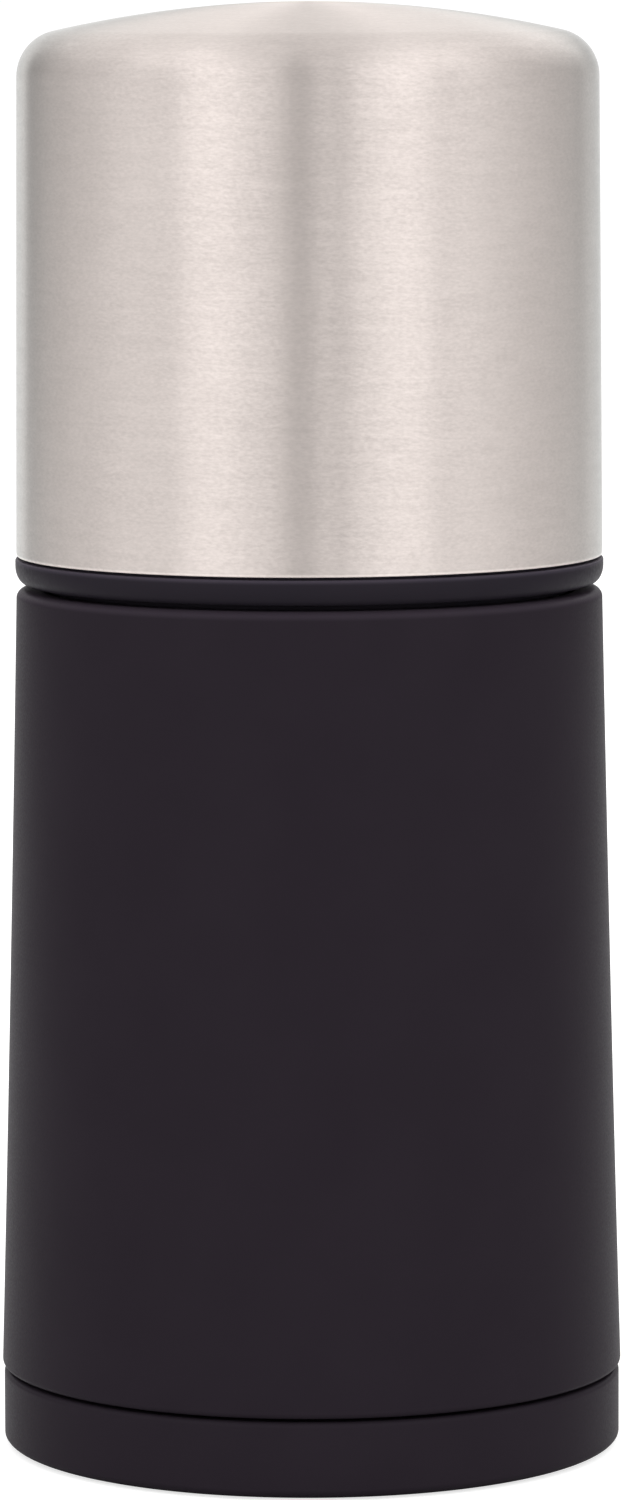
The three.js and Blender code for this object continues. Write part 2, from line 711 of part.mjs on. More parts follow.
function addBaseCap() {
  const edge = baseCapRadius - BASE_EDGE_WIDTH;
  const footInner = edge - FOOT_WIDTH;
  const profile = [
    [0, FOOT_RECESS],
    [footInner - FOOT_RECESS, FOOT_RECESS],
    [footInner, 0],
    ...arc(edge, BASE_EDGE_RISE, BASE_EDGE_WIDTH, -90, 0, EDGE_STEPS, BASE_EDGE_RISE),
    [baseCapRadius, BASE_CAP_HEIGHT - SMALL_EDGE],
    [baseCapRadius - SMALL_EDGE, BASE_CAP_HEIGHT],
    [baseInnerRadius + SMALL_EDGE, BASE_CAP_HEIGHT],
    [baseInnerRadius, BASE_CAP_HEIGHT - SMALL_EDGE],
    [baseInnerRadius, baseFloorTop + SMALL_EDGE],
    [baseInnerRadius - SMALL_EDGE, baseFloorTop],
    [0, baseFloorTop],
  ];
  add('base_cap', revolve(profile, SIDES_OUTER), softBlack);
}

// The disc that carries the prongs. It is keyed to the rod by the hexagonal socket in its hub.
function addCarrier() {
  const profile = [
    [0, carrierBottom],
    [carrierRadius, carrierBottom],
    [carrierRadius, carrierTop],
    [CARRIER_HUB_RADIUS, carrierTop],
    [CARRIER_HUB_RADIUS, carrierHubTop],
    [0, carrierHubTop],
  ];
  const holeRadius = PRONG_RADIUS + SEAT_GAP;
  const holeTop = carrierBottom + PRONG_ROOT + SEAT_GAP;
  const prongHole = () =>
    rod(holeRadius, carrierBottom - CUT_PAST, holeTop, SIDES_PRONG).translate(prongCircle, 0, 0);
  const carrier = combine(revolve(profile, SIDES_INNER), {
    cut: [
      hexagon(ROD_FLATS + 2 * SEAT_GAP, socketBottom, carrierHubTop + CUT_PAST),
      rod(largeScrew.shankRadius + SEAT_GAP, carrierBottom - CUT_PAST, socketBottom + CUT_PAST, SIDES_HOLE),
      ...around(PRONGS, PRONG_START, prongHole),
    ],
  });
  add('prong_carrier', carrier, mouldedBlack);
}

function addProngs() {
  const profile = [
    [0, -PRONG_LENGTH],
    [PRONG_RADIUS, PRONG_POINT - PRONG_LENGTH],
    [PRONG_RADIUS, PRONG_ROOT],
    [0, PRONG_ROOT],
  ];
  for (let i = 0; i < PRONGS; i++) {
    const prong = add(`prong_${i + 1}`, revolve(profile, SIDES_PRONG), bladeSteel);
    prong.position.set(...onCircle(prongCircle, i, PRONGS, PRONG_START), carrierBottom);
  }
}

function addDriveRod() {
  const hole = (bottom, top) => rod(largeScrew.shankRadius + SEAT_GAP, bottom, top, SIDES_HOLE);
  const bar = combine(hexagon(ROD_FLATS, rodBottom, rodTop), {
    cut: [
      hole(rodBottom - CUT_PAST, carrierBottom + ROD_SCREW_REACH),
      hole(stopWasherTop - ROD_SCREW_REACH, rodTop + CUT_PAST),
    ],
  });
  add('drive_rod', bar, screwSteel);

  const carrierScrew = add('carrier_screw', screwGeometry(largeScrew, ROD_SCREW_REACH), screwSteel);
  carrierScrew.position.z = carrierBottom - SEAT_GAP;

  const washerBore = largeScrew.shankRadius + SEAT_GAP;
  const washer = tube(washerBore, STOP_WASHER_RADIUS, stopWasherBottom, stopWasherTop, SIDES_SMALL);
  add('stop_washer', washer, screwSteel);

  const stopScrew = add('stop_screw', screwGeometry(largeScrew, ROD_SCREW_REACH), screwSteel);
  stopScrew.position.z = stopWasherTop + SEAT_GAP;
  stopScrew.rotation.x = Math.PI;
}

// The spring's centre line, with closed turns at both ends and evenly pitched ones between.
class SpringLine extends THREE.Curve {
  getPoint(t, target = new THREE.Vector3()) {
    const turns = ACTIVE_TURNS + 2 * END_TURNS;
    const bottom = springBottom + WIRE_RADIUS;
    const top = springTop - WIRE_RADIUS;
    const activeRise = (top - bottom - 2 * END_TURNS * END_PITCH) / ACTIVE_TURNS;
    const turn = t * turns;
    const active = THREE.MathUtils.clamp(turn - END_TURNS, 0, ACTIVE_TURNS);
    const angle = turn * 2 * Math.PI;
    const z = bottom + active * activeRise + (turn - active) * END_PITCH;
    return target.set(COIL_RADIUS * Math.cos(angle), COIL_RADIUS * Math.sin(angle), z);
  }
}

// The least distance between the wire's surfaces in neighbouring turns, measured on points.
function leastCoilGap(line) {
  const turns = ACTIVE_TURNS + 2 * END_TURNS;
  const perTurn = 24;
  const last = turns * perTurn;
  const points = Array.from({ length: last + 1 }, (_, i) => line.getPoint(i / last));
  let least = Infinity;
  points.forEach((p, i) => {
    for (let j = i + perTurn / 2; j < points.length; j++) least = Math.min(least, p.distanceTo(points[j]));
  });
  return least - 2 * WIRE_RADIUS;
}

function addSpring() {
  const line = new SpringLine();
  const section = arc(0, 0, WIRE_RADIUS, 0, 360, SPRING_SIDES).slice(0, -1);
  const wire = new THREE.Shape(section.map(([x, y]) => new THREE.Vector2(x, y)));
  const steps = (ACTIVE_TURNS + 2 * END_TURNS) * SPRING_STEPS;
  const coil = new THREE.ExtrudeGeometry(wire, { steps, extrudePath: line, bevelEnabled: false });
  add('plunger_spring', coil, springSteel);
  console.log(`least gap between the spring's turns: ${leastCoilGap(line).toFixed(2)} mm`);
}

addBaseCap();
addLockingRing();
addSealRing();
addBladeHolder();
addBlade();
addClampRing();
addScrews(bladeScrews);
addBodyShell();
addChamberTube();
addScrews(chamberScrews);
addBearingWasher();
addSteelCap();
addHeadCore();
addRetainer();
addScrews(retainerScrews);
addDriveRod();
addCarrier();
addProngs();
addSpring();

export default grater;
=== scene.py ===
"""The looks of a twist-top nutmeg grater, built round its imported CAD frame.

Lengths are in mm and angles in degrees, unless a comment says otherwise.
"""
from math import atan2, ceil, cos, degrees, pi, radians, sin, sqrt, tan

import bmesh
import bpy
from mathutils import Matrix, Vector


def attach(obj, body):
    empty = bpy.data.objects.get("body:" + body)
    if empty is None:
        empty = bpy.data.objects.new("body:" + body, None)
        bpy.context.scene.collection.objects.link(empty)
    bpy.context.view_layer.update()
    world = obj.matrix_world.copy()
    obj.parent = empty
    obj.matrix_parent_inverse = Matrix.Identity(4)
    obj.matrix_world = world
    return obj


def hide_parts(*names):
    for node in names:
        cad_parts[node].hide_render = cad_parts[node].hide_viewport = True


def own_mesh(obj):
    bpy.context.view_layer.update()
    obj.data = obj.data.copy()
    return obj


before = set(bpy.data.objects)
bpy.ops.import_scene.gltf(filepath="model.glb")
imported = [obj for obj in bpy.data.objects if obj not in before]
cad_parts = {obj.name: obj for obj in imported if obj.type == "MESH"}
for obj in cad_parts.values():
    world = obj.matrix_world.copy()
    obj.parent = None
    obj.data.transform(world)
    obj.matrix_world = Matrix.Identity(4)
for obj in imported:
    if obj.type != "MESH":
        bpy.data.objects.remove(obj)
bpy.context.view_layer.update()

MM = 0.001  # in metres

# Gaps: between pieces that touch, and round pieces that slide, turn or slip into one another
TOUCH_GAP = 0.3
RUNNING_GAP = 0.4

# Radii of the outside; an edge is the width and the rise of its rounding
BODY_BOTTOM = 28.07
BODY_TOP = 26.32
BODY_BOW = 0.075  # how far its side is drawn in half way up
BASE_OUTER = BODY_BOTTOM - 0.16
COLLAR_OUTER = BODY_TOP + 0.1
STEEL_RIM = COLLAR_OUTER - 0.09
STEEL_SHOULDER = STEEL_RIM - 0.31
STEEL_WALL = 0.7
SHOULDER_BEND = 4.2
DOME_RADIUS = 102.2
BODY_TOP_BEND = 0.83
BASE_EDGE = (1.85, 0.97)
COLLAR_EDGE = (1.05, 1.6)
RIM_EDGE = (0.12, 0.4)
RIM_CHAMFER = 0.1
SEAM_BEND = 0.5

# Levels of the outside
BASE_TOP = 6.93
BODY_LOW = 7.24
BODY_HIGH = 77.7
COLLAR_LOW = 78.19
COLLAR_HIGH = 80.45
RIM_LEVEL = 80.70
DOME_TOP = 130.1

# Radii inside
BODY_WALL = 2.27
BORE = BODY_BOTTOM - 2.87
SKIRT = BORE - 0.9
SKIRT_INNER = SKIRT - 1.8
HOLDER = SKIRT_INNER - RUNNING_GAP
UPSTAND_INNER = HOLDER - 1.3
BLADE = UPSTAND_INNER - RUNNING_GAP
CLAMP_BORE = BLADE - 3.1
BLADE_SCREWS = (BLADE + CLAMP_BORE) / 2
TUBE_OUTER = CLAMP_BORE - 0.5
TUBE_INNER = TUBE_OUTER - 1.5
TUBE_SCREWS = TUBE_OUTER + 4.6
HOLDER_MOUTH = TUBE_INNER + 1.1
RING_MOUTH = HOLDER_MOUTH + 1.2
CARRIER = TUBE_INNER - 0.7
PRONG_CIRCLE = CARRIER - 5.6
DECK_RECESS = BODY_TOP - 2.32
SPIGOT = DECK_RECESS - RUNNING_GAP
DECK_BORE = SPIGOT - 6.2
DRUM = DECK_BORE - RUNNING_GAP
DRUM_INNER = DRUM - 4.4
KEEPER_SCREWS = (DRUM + DRUM_INNER) / 2
CUP_INNER = BASE_OUTER - 1.81
RIM_OUTER = (CUP_INNER + BORE) / 2
RIM_INNER = RIM_OUTER - 2.25

# Levels inside
CUP_FLOOR = 2.2
RING_LOW = 2.8
WEB_TOP = BODY_LOW
SKIRT_TOP = 15.5
SEAL_LEVEL = 5.15
SEAL_SECTION = 0.65
SEAL_CENTRE = CUP_INNER - TOUCH_GAP - SEAL_SECTION
HOLDER_LOW = 7.5
HOLDER_HIGH = 9.5
UPSTAND_TOP = 15.1
BLADE_LOW = 9.8
BLADE_HIGH = 10.15
CLAMP_LOW = 10.45
CLAMP_HIGH = 11.95
FLANGE_LOW = 18.55
FLANGE_HIGH = 20.55
BOSS_LOW = 20.85
TUBE_HIGH = 68.7
KEEPER_LOW = 71.1
KEEPER_HIGH = 73.1
DRUM_LOW = 73.4
DECK_LOW = 73.7
DECK_HIGH = 76.3
CORE_LOW = 77.5
CORE_FLOOR_LOW = 77.95
CORE_WALL_TOP = 121.1
DRIVE_BOSS_TOP = 91.05
CARRIER_LOW = 16.95
CARRIER_HIGH = 20.45
HUB_HIGH = 23.95
ROD_LOW = 19.25
SPRING_LOW = 20.75
SPRING_HIGH = 77.65
STOP_WASHER_LOW = 91.35
STOP_WASHER_HIGH = 92.35

# The head's moulding
HEAD_WALL = 1.7
HEAD_WALL_SINK = 1.0  # from the cap's outside to the outside of the wall in it
DRIVE_BOSS = 6.5
RIBS = 6
RIB_NEAR = 5.0
RIB_WIDTH = 1.4
RIB_SINK = 0.3
RIB_RISE = 7.6
ROD_WELL = (76.9, 92)  # the levels that its cutting shape spans

# The body's screw pillars and the webs that hold them to its wall
PILLAR = 2.8
PILLAR_HEIGHT = 13
PILLAR_WEB = 2
PILLAR_WEB_SINK = 1.2  # from the body's outside to its end in the wall
WEB_INSET = 0.1  # how far a web ends above a pillar's foot, and below its top
WEB_DROP = 0.4

# The foot of the base cap
FOOT_WIDTH = 4
FOOT_RECESS = 0.6

# The locking ring's web and the slots under its rim
RING_WEB = 1.5
RING_SLOTS = 12
SLOT_WIDTH = 3
SLOT_DEPTH = 1.1

# The keys by which the tube takes the blade's holder round
KEYS = 3
KEY_WIDTH = 3
KEY_SINK = 0.75
KEY_ROOT = 1

# The washers and the ring that keeps the head on
GLIDE_WASHER = 0.6
GLIDE_MARGIN = 1.2
STOP_WASHER = 5
KEEPER_LIP = 3

# The hexagonal rod and its sockets
ROD_HALF_FLATS = 3.0
ROD_CHAMFER = 0.4
HEX_SOCKET = 3.81  # out to its corners
HEX_START = pi / 6  # in radians

# The carrier and its prongs
HUB = 5
HUB_FLOOR = 2
PRONGS = 6
PRONGS_AT = 30
PRONG = 0.9
PRONG_HOLE = 1.2
PRONG_SOCKET = 2.5
PRONG_ROOT = 2.2
PRONG_TAPER = 2.6  # from the carrier down to where it tapers
PRONG_REACH = 5
PRONG_POINT = (0.12, 0.05)
PRONG_BEND = 1.5

# The spring
WIRE = 0.5
COIL = 6.6
ACTIVE_TURNS = 10
END_TURNS = 1  # closed turns at each end
END_PITCH = 1.55

# The coarse thread between the locking ring and the body
THREAD_STARTS = 3
THREAD_LEAD = 12.0
THREAD_LOW = 8.0
THREAD_HIGH = 15.0
RIDGE_HEIGHT = 0.65
RIDGE_ROOT = 1.5
RIDGE_CREST = 0.9
RIDGE_SINK = 0.2  # how deep a ridge is rooted in its wall
RIDGE_END = 0.12  # its height at its ends, as a share of its full height
RIDGE_FADE = 8  # its gain in height per length, both as shares

# The blade's teeth
TOOTH_RING_STEP = 2.65
TOOTH_RINGS = 5
TOOTH_PITCH = 4.4
TOOTH_WIDTH = 1.7
TOOTH_LENGTH = 1.5
TOOTH_HEIGHT = 0.6
TOOTH_OVERHANG = 0.4
WINDOW_STRAIGHT = 0.45  # from a window's near edge to where it begins to round
WINDOW_NARROWING = 0.95
LIP_DROOP = 0.5  # how much lower its sides are than its middle, as a share
LIP_BOW = 0.55  # how much less its sides overhang, as a share
LIP_CLIMB = 1.5  # the power of its climb: 1 is a plain slope
LIP_EDGE = 0.05
LIP_THICKENING = 0.2  # from its edge back to its root
LIP_FREE = 0.72  # the share of its length from which its underside is free
LIP_SINK = 0.1

# Screws: the radius and height of the head, and the radius of the shank
SMALL_SCREW = (1.35, 1.0, 0.65)
MEDIUM_SCREW = (1.9, 1.3, 0.95)
LARGE_SCREW = (2.4, 1.6, 1.1)
SMALL_HOLE = 0.95
MEDIUM_HOLE = 1.25
LARGE_HOLE = 1.4
SCREWS = 3
SCREWS_AT = 60  # the blade's and the tube's
KEEPER_AT = 90
BLADE_SCREW_REACH = 4
TUBE_SCREW_REACH = 11
KEEPER_SCREW_REACH = 8
ROD_SCREW_REACH = 8

# A screw's pan head, as shares of its radius and height, its neck, thread, end and cross recess
PAN_HEAD = ((0.5, 1), (0.72, 0.93), (0.88, 0.78), (0.97, 0.55), (1, 0.3))
HEAD_EDGE = 0.05
NECK = 0.6
PITCH_SHARE = 0.62
ROOT_SHARE = 0.78
END_SHARE = 0.85
RECESS_HALF = 0.5
RECESS_WIDTH = 0.2
RECESS_FLOOR = 0.42

# How the corners of profiles are rounded
TINY_EDGE = 0.1
THIN_EDGE = 0.15
SMALL_EDGE = 0.2
EDGE = 0.3
ROUND_EDGE = 0.4
SOFT_EDGE = 0.5
FILLET = 0.6
WIDE_FILLET = 0.8
WASHER_EDGE = 0.12
SHEET_EDGE = 0.08
SEAT_EDGE = 0.25
CUP_LIP_EDGE = 0.35

# Facets: round the axis, and along roundings, sides and curves
FINE = 240
MEDIUM = 144
WASHER_SIDES = 64
SMALL = 40
SCREW_SIDES = 32
PIN_SIDES = 24
HEX_SIDES = 6
CORNER_STEP = 15  # the angle of each facet in a corner
FINE_STEP = 9
THIN_STEP = 30
SHOULDER_STEPS = 16
DOME_STEPS = 20
RIM_STEPS = 8
COLLAR_STEPS = 12
BODY_STEPS = 24
BODY_INSIDE_STEPS = 8
BODY_TOP_STEPS = 10
FOOT_STEPS = 14
SEAL_STEPS = 20
WINDOW_STEPS = 8
LIP_STEPS_ACROSS = 8
LIP_STEPS_UP = 7
COIL_STEPS = 48  # in each turn
WIRE_SIDES = 12
SMOOTH_ANGLE = radians(28)

ON_AXIS = 1e-6  # a radius below this is a point on the axis
CUT_PAST = 1  # how far a cutting shape reaches past what it cuts
ASIDE = 3  # how far from a rounded corner the points lie that only give its direction


# Meshes

def new_object(name, data):
    made = bpy.data.objects.new(name, data)
    bpy.context.scene.collection.objects.link(made)
    return made


def new_mesh(name, bm):
    mesh = bpy.data.meshes.new(name)
    bm.to_mesh(mesh)
    bm.free()
    return mesh


def keep(name, bm):
    """Makes an object of a bmesh given in mm, with its faces turned outward."""
    bmesh.ops.recalc_face_normals(bm, faces=bm.faces[:])
    bmesh.ops.scale(bm, vec=Vector((MM, MM, MM)), verts=bm.verts[:])
    return new_object(name, new_mesh(name, bm))


def turn(bm, profile, sides, start=0.0):
    """Adds a turned solid to bm: the profile of (radius, height) points closes on itself.

    Its first corner round the axis is at start, in radians.
    """
    rows = []
    for radius, height in profile:
        if radius < ON_AXIS:
            rows.append([bm.verts.new((0, 0, height))])
            continue
        angles = [start + 2 * pi * k / sides for k in range(sides)]
        points = [(radius * cos(a), radius * sin(a), height) for a in angles]
        rows.append([bm.verts.new(point) for point in points])
    for low, high in zip(rows, rows[1:] + rows[:1]):
        for k in range(sides):
            n = (k + 1) % sides
            quad = [low[k % len(low)], low[n % len(low)], high[n % len(high)], high[k % len(high)]]
            corners = list(dict.fromkeys(quad))
            if len(corners) > 2:
                bm.faces.new(corners)


def lathe(name, profile, sides=FINE, start=0.0):
    return keep(name, shapes(turn, profile, sides, start))


def arc(centre, width, first, last, steps, rise=None):
    """Points on an arc in the section plane, its angles counted from the outward direction.

    The arc is part of a circle, or of an ellipse if its rise is given as well as its width.
    """
    rise = width if rise is None else rise
    angles = [radians(first + (last - first) * i / steps) for i in range(steps + 1)]
    return [(centre[0] + width * cos(a), centre[1] + rise * sin(a)) for a in angles]


def soften(corners, step=CORNER_STEP):
    """A closed profile with rounded corners: each is (radius, height) or (radius, height, bend)."""
    points = []
    for i, corner in enumerate(corners):
        here = Vector(corner[:2])
        bend = corner[2] if len(corner) > 2 else 0
        if not bend:
            points.append(tuple(here))
            continue
        back = (Vector(corners[i - 1][:2]) - here).normalized()
        on = (Vector(corners[(i + 1) % len(corners)][:2]) - here).normalized()
        half = back.angle(on) / 2
        middle = here + (back + on).normalized() * bend / sin(half)
        reach = bend / tan(half)
        first = here + back * reach - middle
        last = here + on * reach - middle
        sweep_angle = atan2(first.x * last.y - first.y * last.x, first.dot(last))
        steps = max(2, ceil(abs(degrees(sweep_angle)) / step))
        for k in range(steps + 1):
            angle = sweep_angle * k / steps
            swung = Vector((
                first.x * cos(angle) - first.y * sin(angle),
                first.x * sin(angle) + first.y * cos(angle),
            ))
            points.append(tuple(middle + swung))
    return points


def flat_ring(inner, outer, low, high, edges, step=CORNER_STEP):
    """The profile of a flat ring: edges are its bends, from the lower inner one outward and up."""
    corners = ((inner, low), (outer, low), (outer, high), (inner, high))
    return soften([(*corner, edge) for corner, edge in zip(corners, edges)], step)


def on_circle(circle, angle):
    """The place at an angle on a circle round the axis."""
    turned = radians(angle)
    return circle * cos(turned), circle * sin(turned)


def angles_of(count, start):
    """The angles of things spread evenly round the axis."""
    return [start + 360 * i / count for i in range(count)]


def block(bm, near, far, width, low, high, angle):
    """Adds a bar that runs outward from the axis at an angle."""
    size = Vector((far - near, width, high - low))
    middle = Vector(((near + far) / 2, 0, (low + high) / 2))
    turned = Matrix.Rotation(radians(angle), 4, "Z")
    place = turned @ Matrix.Translation(middle) @ Matrix.Diagonal(size.to_4d())
    bmesh.ops.create_cube(bm, size=1, matrix=place)


def blocks(bm, near, far, width, low, high, start, count):
    """Adds bars that run outward from the axis, spread evenly round it."""
    for angle in angles_of(count, start):
        block(bm, near, far, width, low, high, angle)


def moved(bm, profile, sides, x, y):
    """Adds a turned solid whose axis stands at x, y."""
    before = set(bm.verts)
    turn(bm, profile, sides)
    added = [v for v in bm.verts if v not in before]
    bmesh.ops.translate(bm, vec=Vector((x, y, 0)), verts=added)


def pillar(bm, radius, low, high, circle=0.0, angle=0.0):
    """Adds an upright round bar, on the axis or on a circle round it."""
    profile = soften([(0, low), (radius, low), (radius, high), (0, high)])
    moved(bm, profile, SMALL, *on_circle(circle, angle))


def pillars(bm, radius, low, high, circle, start, count=SCREWS):
    """Adds upright round bars, spread evenly round the axis."""
    for angle in angles_of(count, start):
        pillar(bm, radius, low, high, circle, angle)


def hex_socket(bm, low, high):
    """Adds the cutting shape of a socket for the rod."""
    profile = [(0, low), (HEX_SOCKET, low), (HEX_SOCKET, high), (0, high)]
    turn(bm, profile, HEX_SIDES, HEX_START)


def boolean(piece, bm, operation):
    """Joins or cuts away the shapes in bm, given in mm, and leaves a plain mesh."""
    tool = keep("tool", bm)
    modifier = piece.modifiers.new("work", "BOOLEAN")
    modifier.operation = operation
    modifier.solver = "MANIFOLD"
    modifier.object = tool
    graph = bpy.context.evaluated_depsgraph_get()
    made = bpy.data.meshes.new_from_object(piece.evaluated_get(graph))
    piece.modifiers.clear()
    worn = [piece.data, tool.data]
    name = piece.data.name
    piece.data = made
    bpy.data.objects.remove(tool)
    for mesh in worn:
        bpy.data.meshes.remove(mesh)
    made.name = name


def cut(piece, bm):
    boolean(piece, bm, "DIFFERENCE")


def join(piece, bm):
    boolean(piece, bm, "UNION")


def shapes(add_them, *sizes):
    """What a function adds to a new bmesh."""
    bm = bmesh.new()
    add_them(bm, *sizes)
    return bm


def drill(piece, radius, low, high, circle, start):
    """Cuts a ring of screw holes through the material between two levels."""
    cut(piece, shapes(pillars, radius, low - CUT_PAST, high + CUT_PAST, circle, start))


def sweep(bm, count, section):
    """Adds a closed bar along count points: section(i) is its outline at point i."""
    rows = [[bm.verts.new(p) for p in section(i)] for i in range(count)]
    around = len(rows[0])
    for low, high in zip(rows, rows[1:]):
        for k in range(around):
            n = (k + 1) % around
            bm.faces.new((low[k], low[n], high[n], high[k]))
    bm.faces.new(rows[0][::-1])
    bm.faces.new(rows[-1])


def thread(piece, root, height, phase):
    """Joins on the ridges of a right-hand thread; height is negative for one in a bore."""
    turns = (THREAD_HIGH - THREAD_LOW - RIDGE_ROOT) / THREAD_LEAD
    steps = int(turns * FINE)
    sink = -RIDGE_SINK if height > 0 else RIDGE_SINK
    ridges = bmesh.new()
    for start in angles_of(THREAD_STARTS, phase):
        def section(i, start=start):
            share = i / steps
            angle = radians(start) + 2 * pi * turns * share
            level = THREAD_LOW + RIDGE_ROOT / 2 + THREAD_LEAD * turns * share
            fade = min(1.0, min(share, 1 - share) * RIDGE_FADE + RIDGE_END)
            shape = [
                (root + sink, -RIDGE_ROOT / 2),
                (root, -RIDGE_ROOT / 2),
                (root + height * fade, -RIDGE_CREST / 2),
                (root + height * fade, RIDGE_CREST / 2),
                (root, RIDGE_ROOT / 2),
                (root + sink, RIDGE_ROOT / 2),
            ]
            return [(r * cos(angle), r * sin(angle), level + z) for r, z in shape]
        sweep(ridges, steps + 1, section)
    join(piece, ridges)


# Materials

FINISHES = {}  # the material of each slot
NOISE_TRIM = 0.3  # how much of a noise value's range counts as its seldom ends
BRUSHED_TRIM = 0.36
STEEL_DETAIL = {"detail": 3.0, "roughness": 0.6}
FINE_LINE_REACH = 2.4  # how long the brushed lines are, in pitches
BROAD_LINE_PITCH = 3  # the pitch of the broad lines, in pitches
BROAD_LINE_REACH = 24
FINE_LINE_SHARE = 0.6
BROAD_LINE_SHARE = 0.25
CLOUD_SHARE = 0.15
BRUSHED_CLOUDS = 0.09  # clouds per mm, as for the next two
STEEL_CLOUDS = 0.35
MOULDED_CLOUDS = 0.12
BRUSHED_SWING = 0.04  # how far the roughness goes to each side of its middle
STEEL_SWING = (0.07, 0.09)
MOULDED_SWING = 0.06
CLOUD_SHADE = 0.9
LINES_ACROSS_TANGENT = 0.25  # a quarter turn: reflections spread across the lines
STEEL_TINT = (0.96, 1, 1, 1)
# Painted highlights on edges, where the real ones catch the light: the height of the plain colour,
# that of the lit colour, and its gain
RIM_PAINTED_HIGHLIGHT = (RIM_LEVEL + 0.3, RIM_LEVEL + 0.12, 1.35)
BODY_PAINTED_HIGHLIGHT = (BODY_HIGH - 0.85, BODY_HIGH - 0.35, 1.6)
COLLAR_PAINTED_HIGHLIGHT = (COLLAR_HIGH - 0.45, COLLAR_HIGH - 0.1, 2.3)


def add(tree, kind):
    return tree.nodes.new("ShaderNode" + kind)


def link(tree, output, socket):
    tree.links.new(output, socket)


def empty_tree(owner):
    """The node tree of a material or a world, with nothing in it."""
    owner.use_nodes = True
    owner.node_tree.nodes.clear()
    return owner.node_tree


def new_finish(name):
    """Makes the material of a slot, with its shader."""
    FINISHES[name] = bpy.data.materials.new(name)
    tree = empty_tree(FINISHES[name])
    out = add(tree, "OutputMaterial")
    shader = add(tree, "BsdfPrincipled")
    link(tree, shader.outputs[0], out.inputs[0])
    return tree, shader


def split(tree, vector):
    node = add(tree, "SeparateXYZ")
    link(tree, vector, node.inputs[0])
    return node.outputs


def preset(node, **values):
    """Sets sockets by their names, with _ for a space."""
    for name, value in values.items():
        node.inputs[name.replace("_", " ")].default_value = value


def maths(tree, operation, first, second=None, third=None):
    node = add(tree, "Math")
    node.operation = operation
    for socket, value in zip(node.inputs, (first, second, third)):
        if value is None:
            continue
        if isinstance(value, (int, float)):
            socket.default_value = value
        else:
            link(tree, value, socket)
    return node.outputs[0]


def smooth_step(tree, value, first, last):
    """A number that goes smoothly from 0 to 1 as a value goes from first to last."""
    node = add(tree, "MapRange")
    node.interpolation_type = "SMOOTHSTEP"
    preset(node, From_Min=first, From_Max=last)
    link(tree, value, node.inputs["Value"])
    return node.outputs[0]


def place_in_mm(tree):
    """The place on the piece at rest, in mm, as a vector."""
    where = add(tree, "TexCoord")
    scale = add(tree, "VectorMath")
    scale.operation = "SCALE"
    preset(scale, Scale=1 / MM)
    link(tree, where.outputs["Object"], scale.inputs[0])
    return scale.outputs[0]


def noise(tree, vector, scale, detail=2.0, roughness=0.5):
    node = add(tree, "TexNoise")
    preset(node, Scale=scale, Detail=detail, Roughness=roughness)
    link(tree, vector, node.inputs["Vector"])
    return node.outputs["Fac"]


def between(tree, factor, low, high, trim=NOISE_TRIM):
    """A number that follows a noise value from low to high, with its seldom ends trimmed."""
    node = add(tree, "MapRange")
    preset(node, From_Min=trim, From_Max=1 - trim, To_Min=low, To_Max=high)
    link(tree, factor, node.inputs["Value"])
    return node.outputs[0]


def tinted(tree, factor, colours, trim=NOISE_TRIM):
    """A colour that follows a noise value between two colours, with its seldom ends trimmed."""
    ramp = add(tree, "ValToRGB")
    ramp.color_ramp.elements[0].position = trim
    ramp.color_ramp.elements[1].position = 1 - trim
    for element, colour in zip(ramp.color_ramp.elements, colours):
        element.color = (*colour, 1)
    link(tree, factor, ramp.inputs[0])
    return ramp.outputs[0]


def bump(tree, shader, height, distance):
    """Relief of a depth given in mm."""
    node = add(tree, "Bump")
    preset(node, Distance=distance * MM)
    link(tree, height, node.inputs["Height"])
    link(tree, node.outputs[0], shader.inputs["Normal"])


def painted_edge_highlight(tree, colour, height, plain, lit, gain):
    """A painted highlight: a colour that grows lighter by a gain as the height in mm goes from
    plain to lit.
    """
    node = add(tree, "VectorMath")
    node.operation = "SCALE"
    link(tree, colour, node.inputs[0])
    share = smooth_step(tree, height, plain, lit)
    link(tree, maths(tree, "MULTIPLY_ADD", share, gain - 1, 1), node.inputs["Scale"])
    return node.outputs[0]


def shade(colour, factor):
    return tuple(c * factor for c in colour)


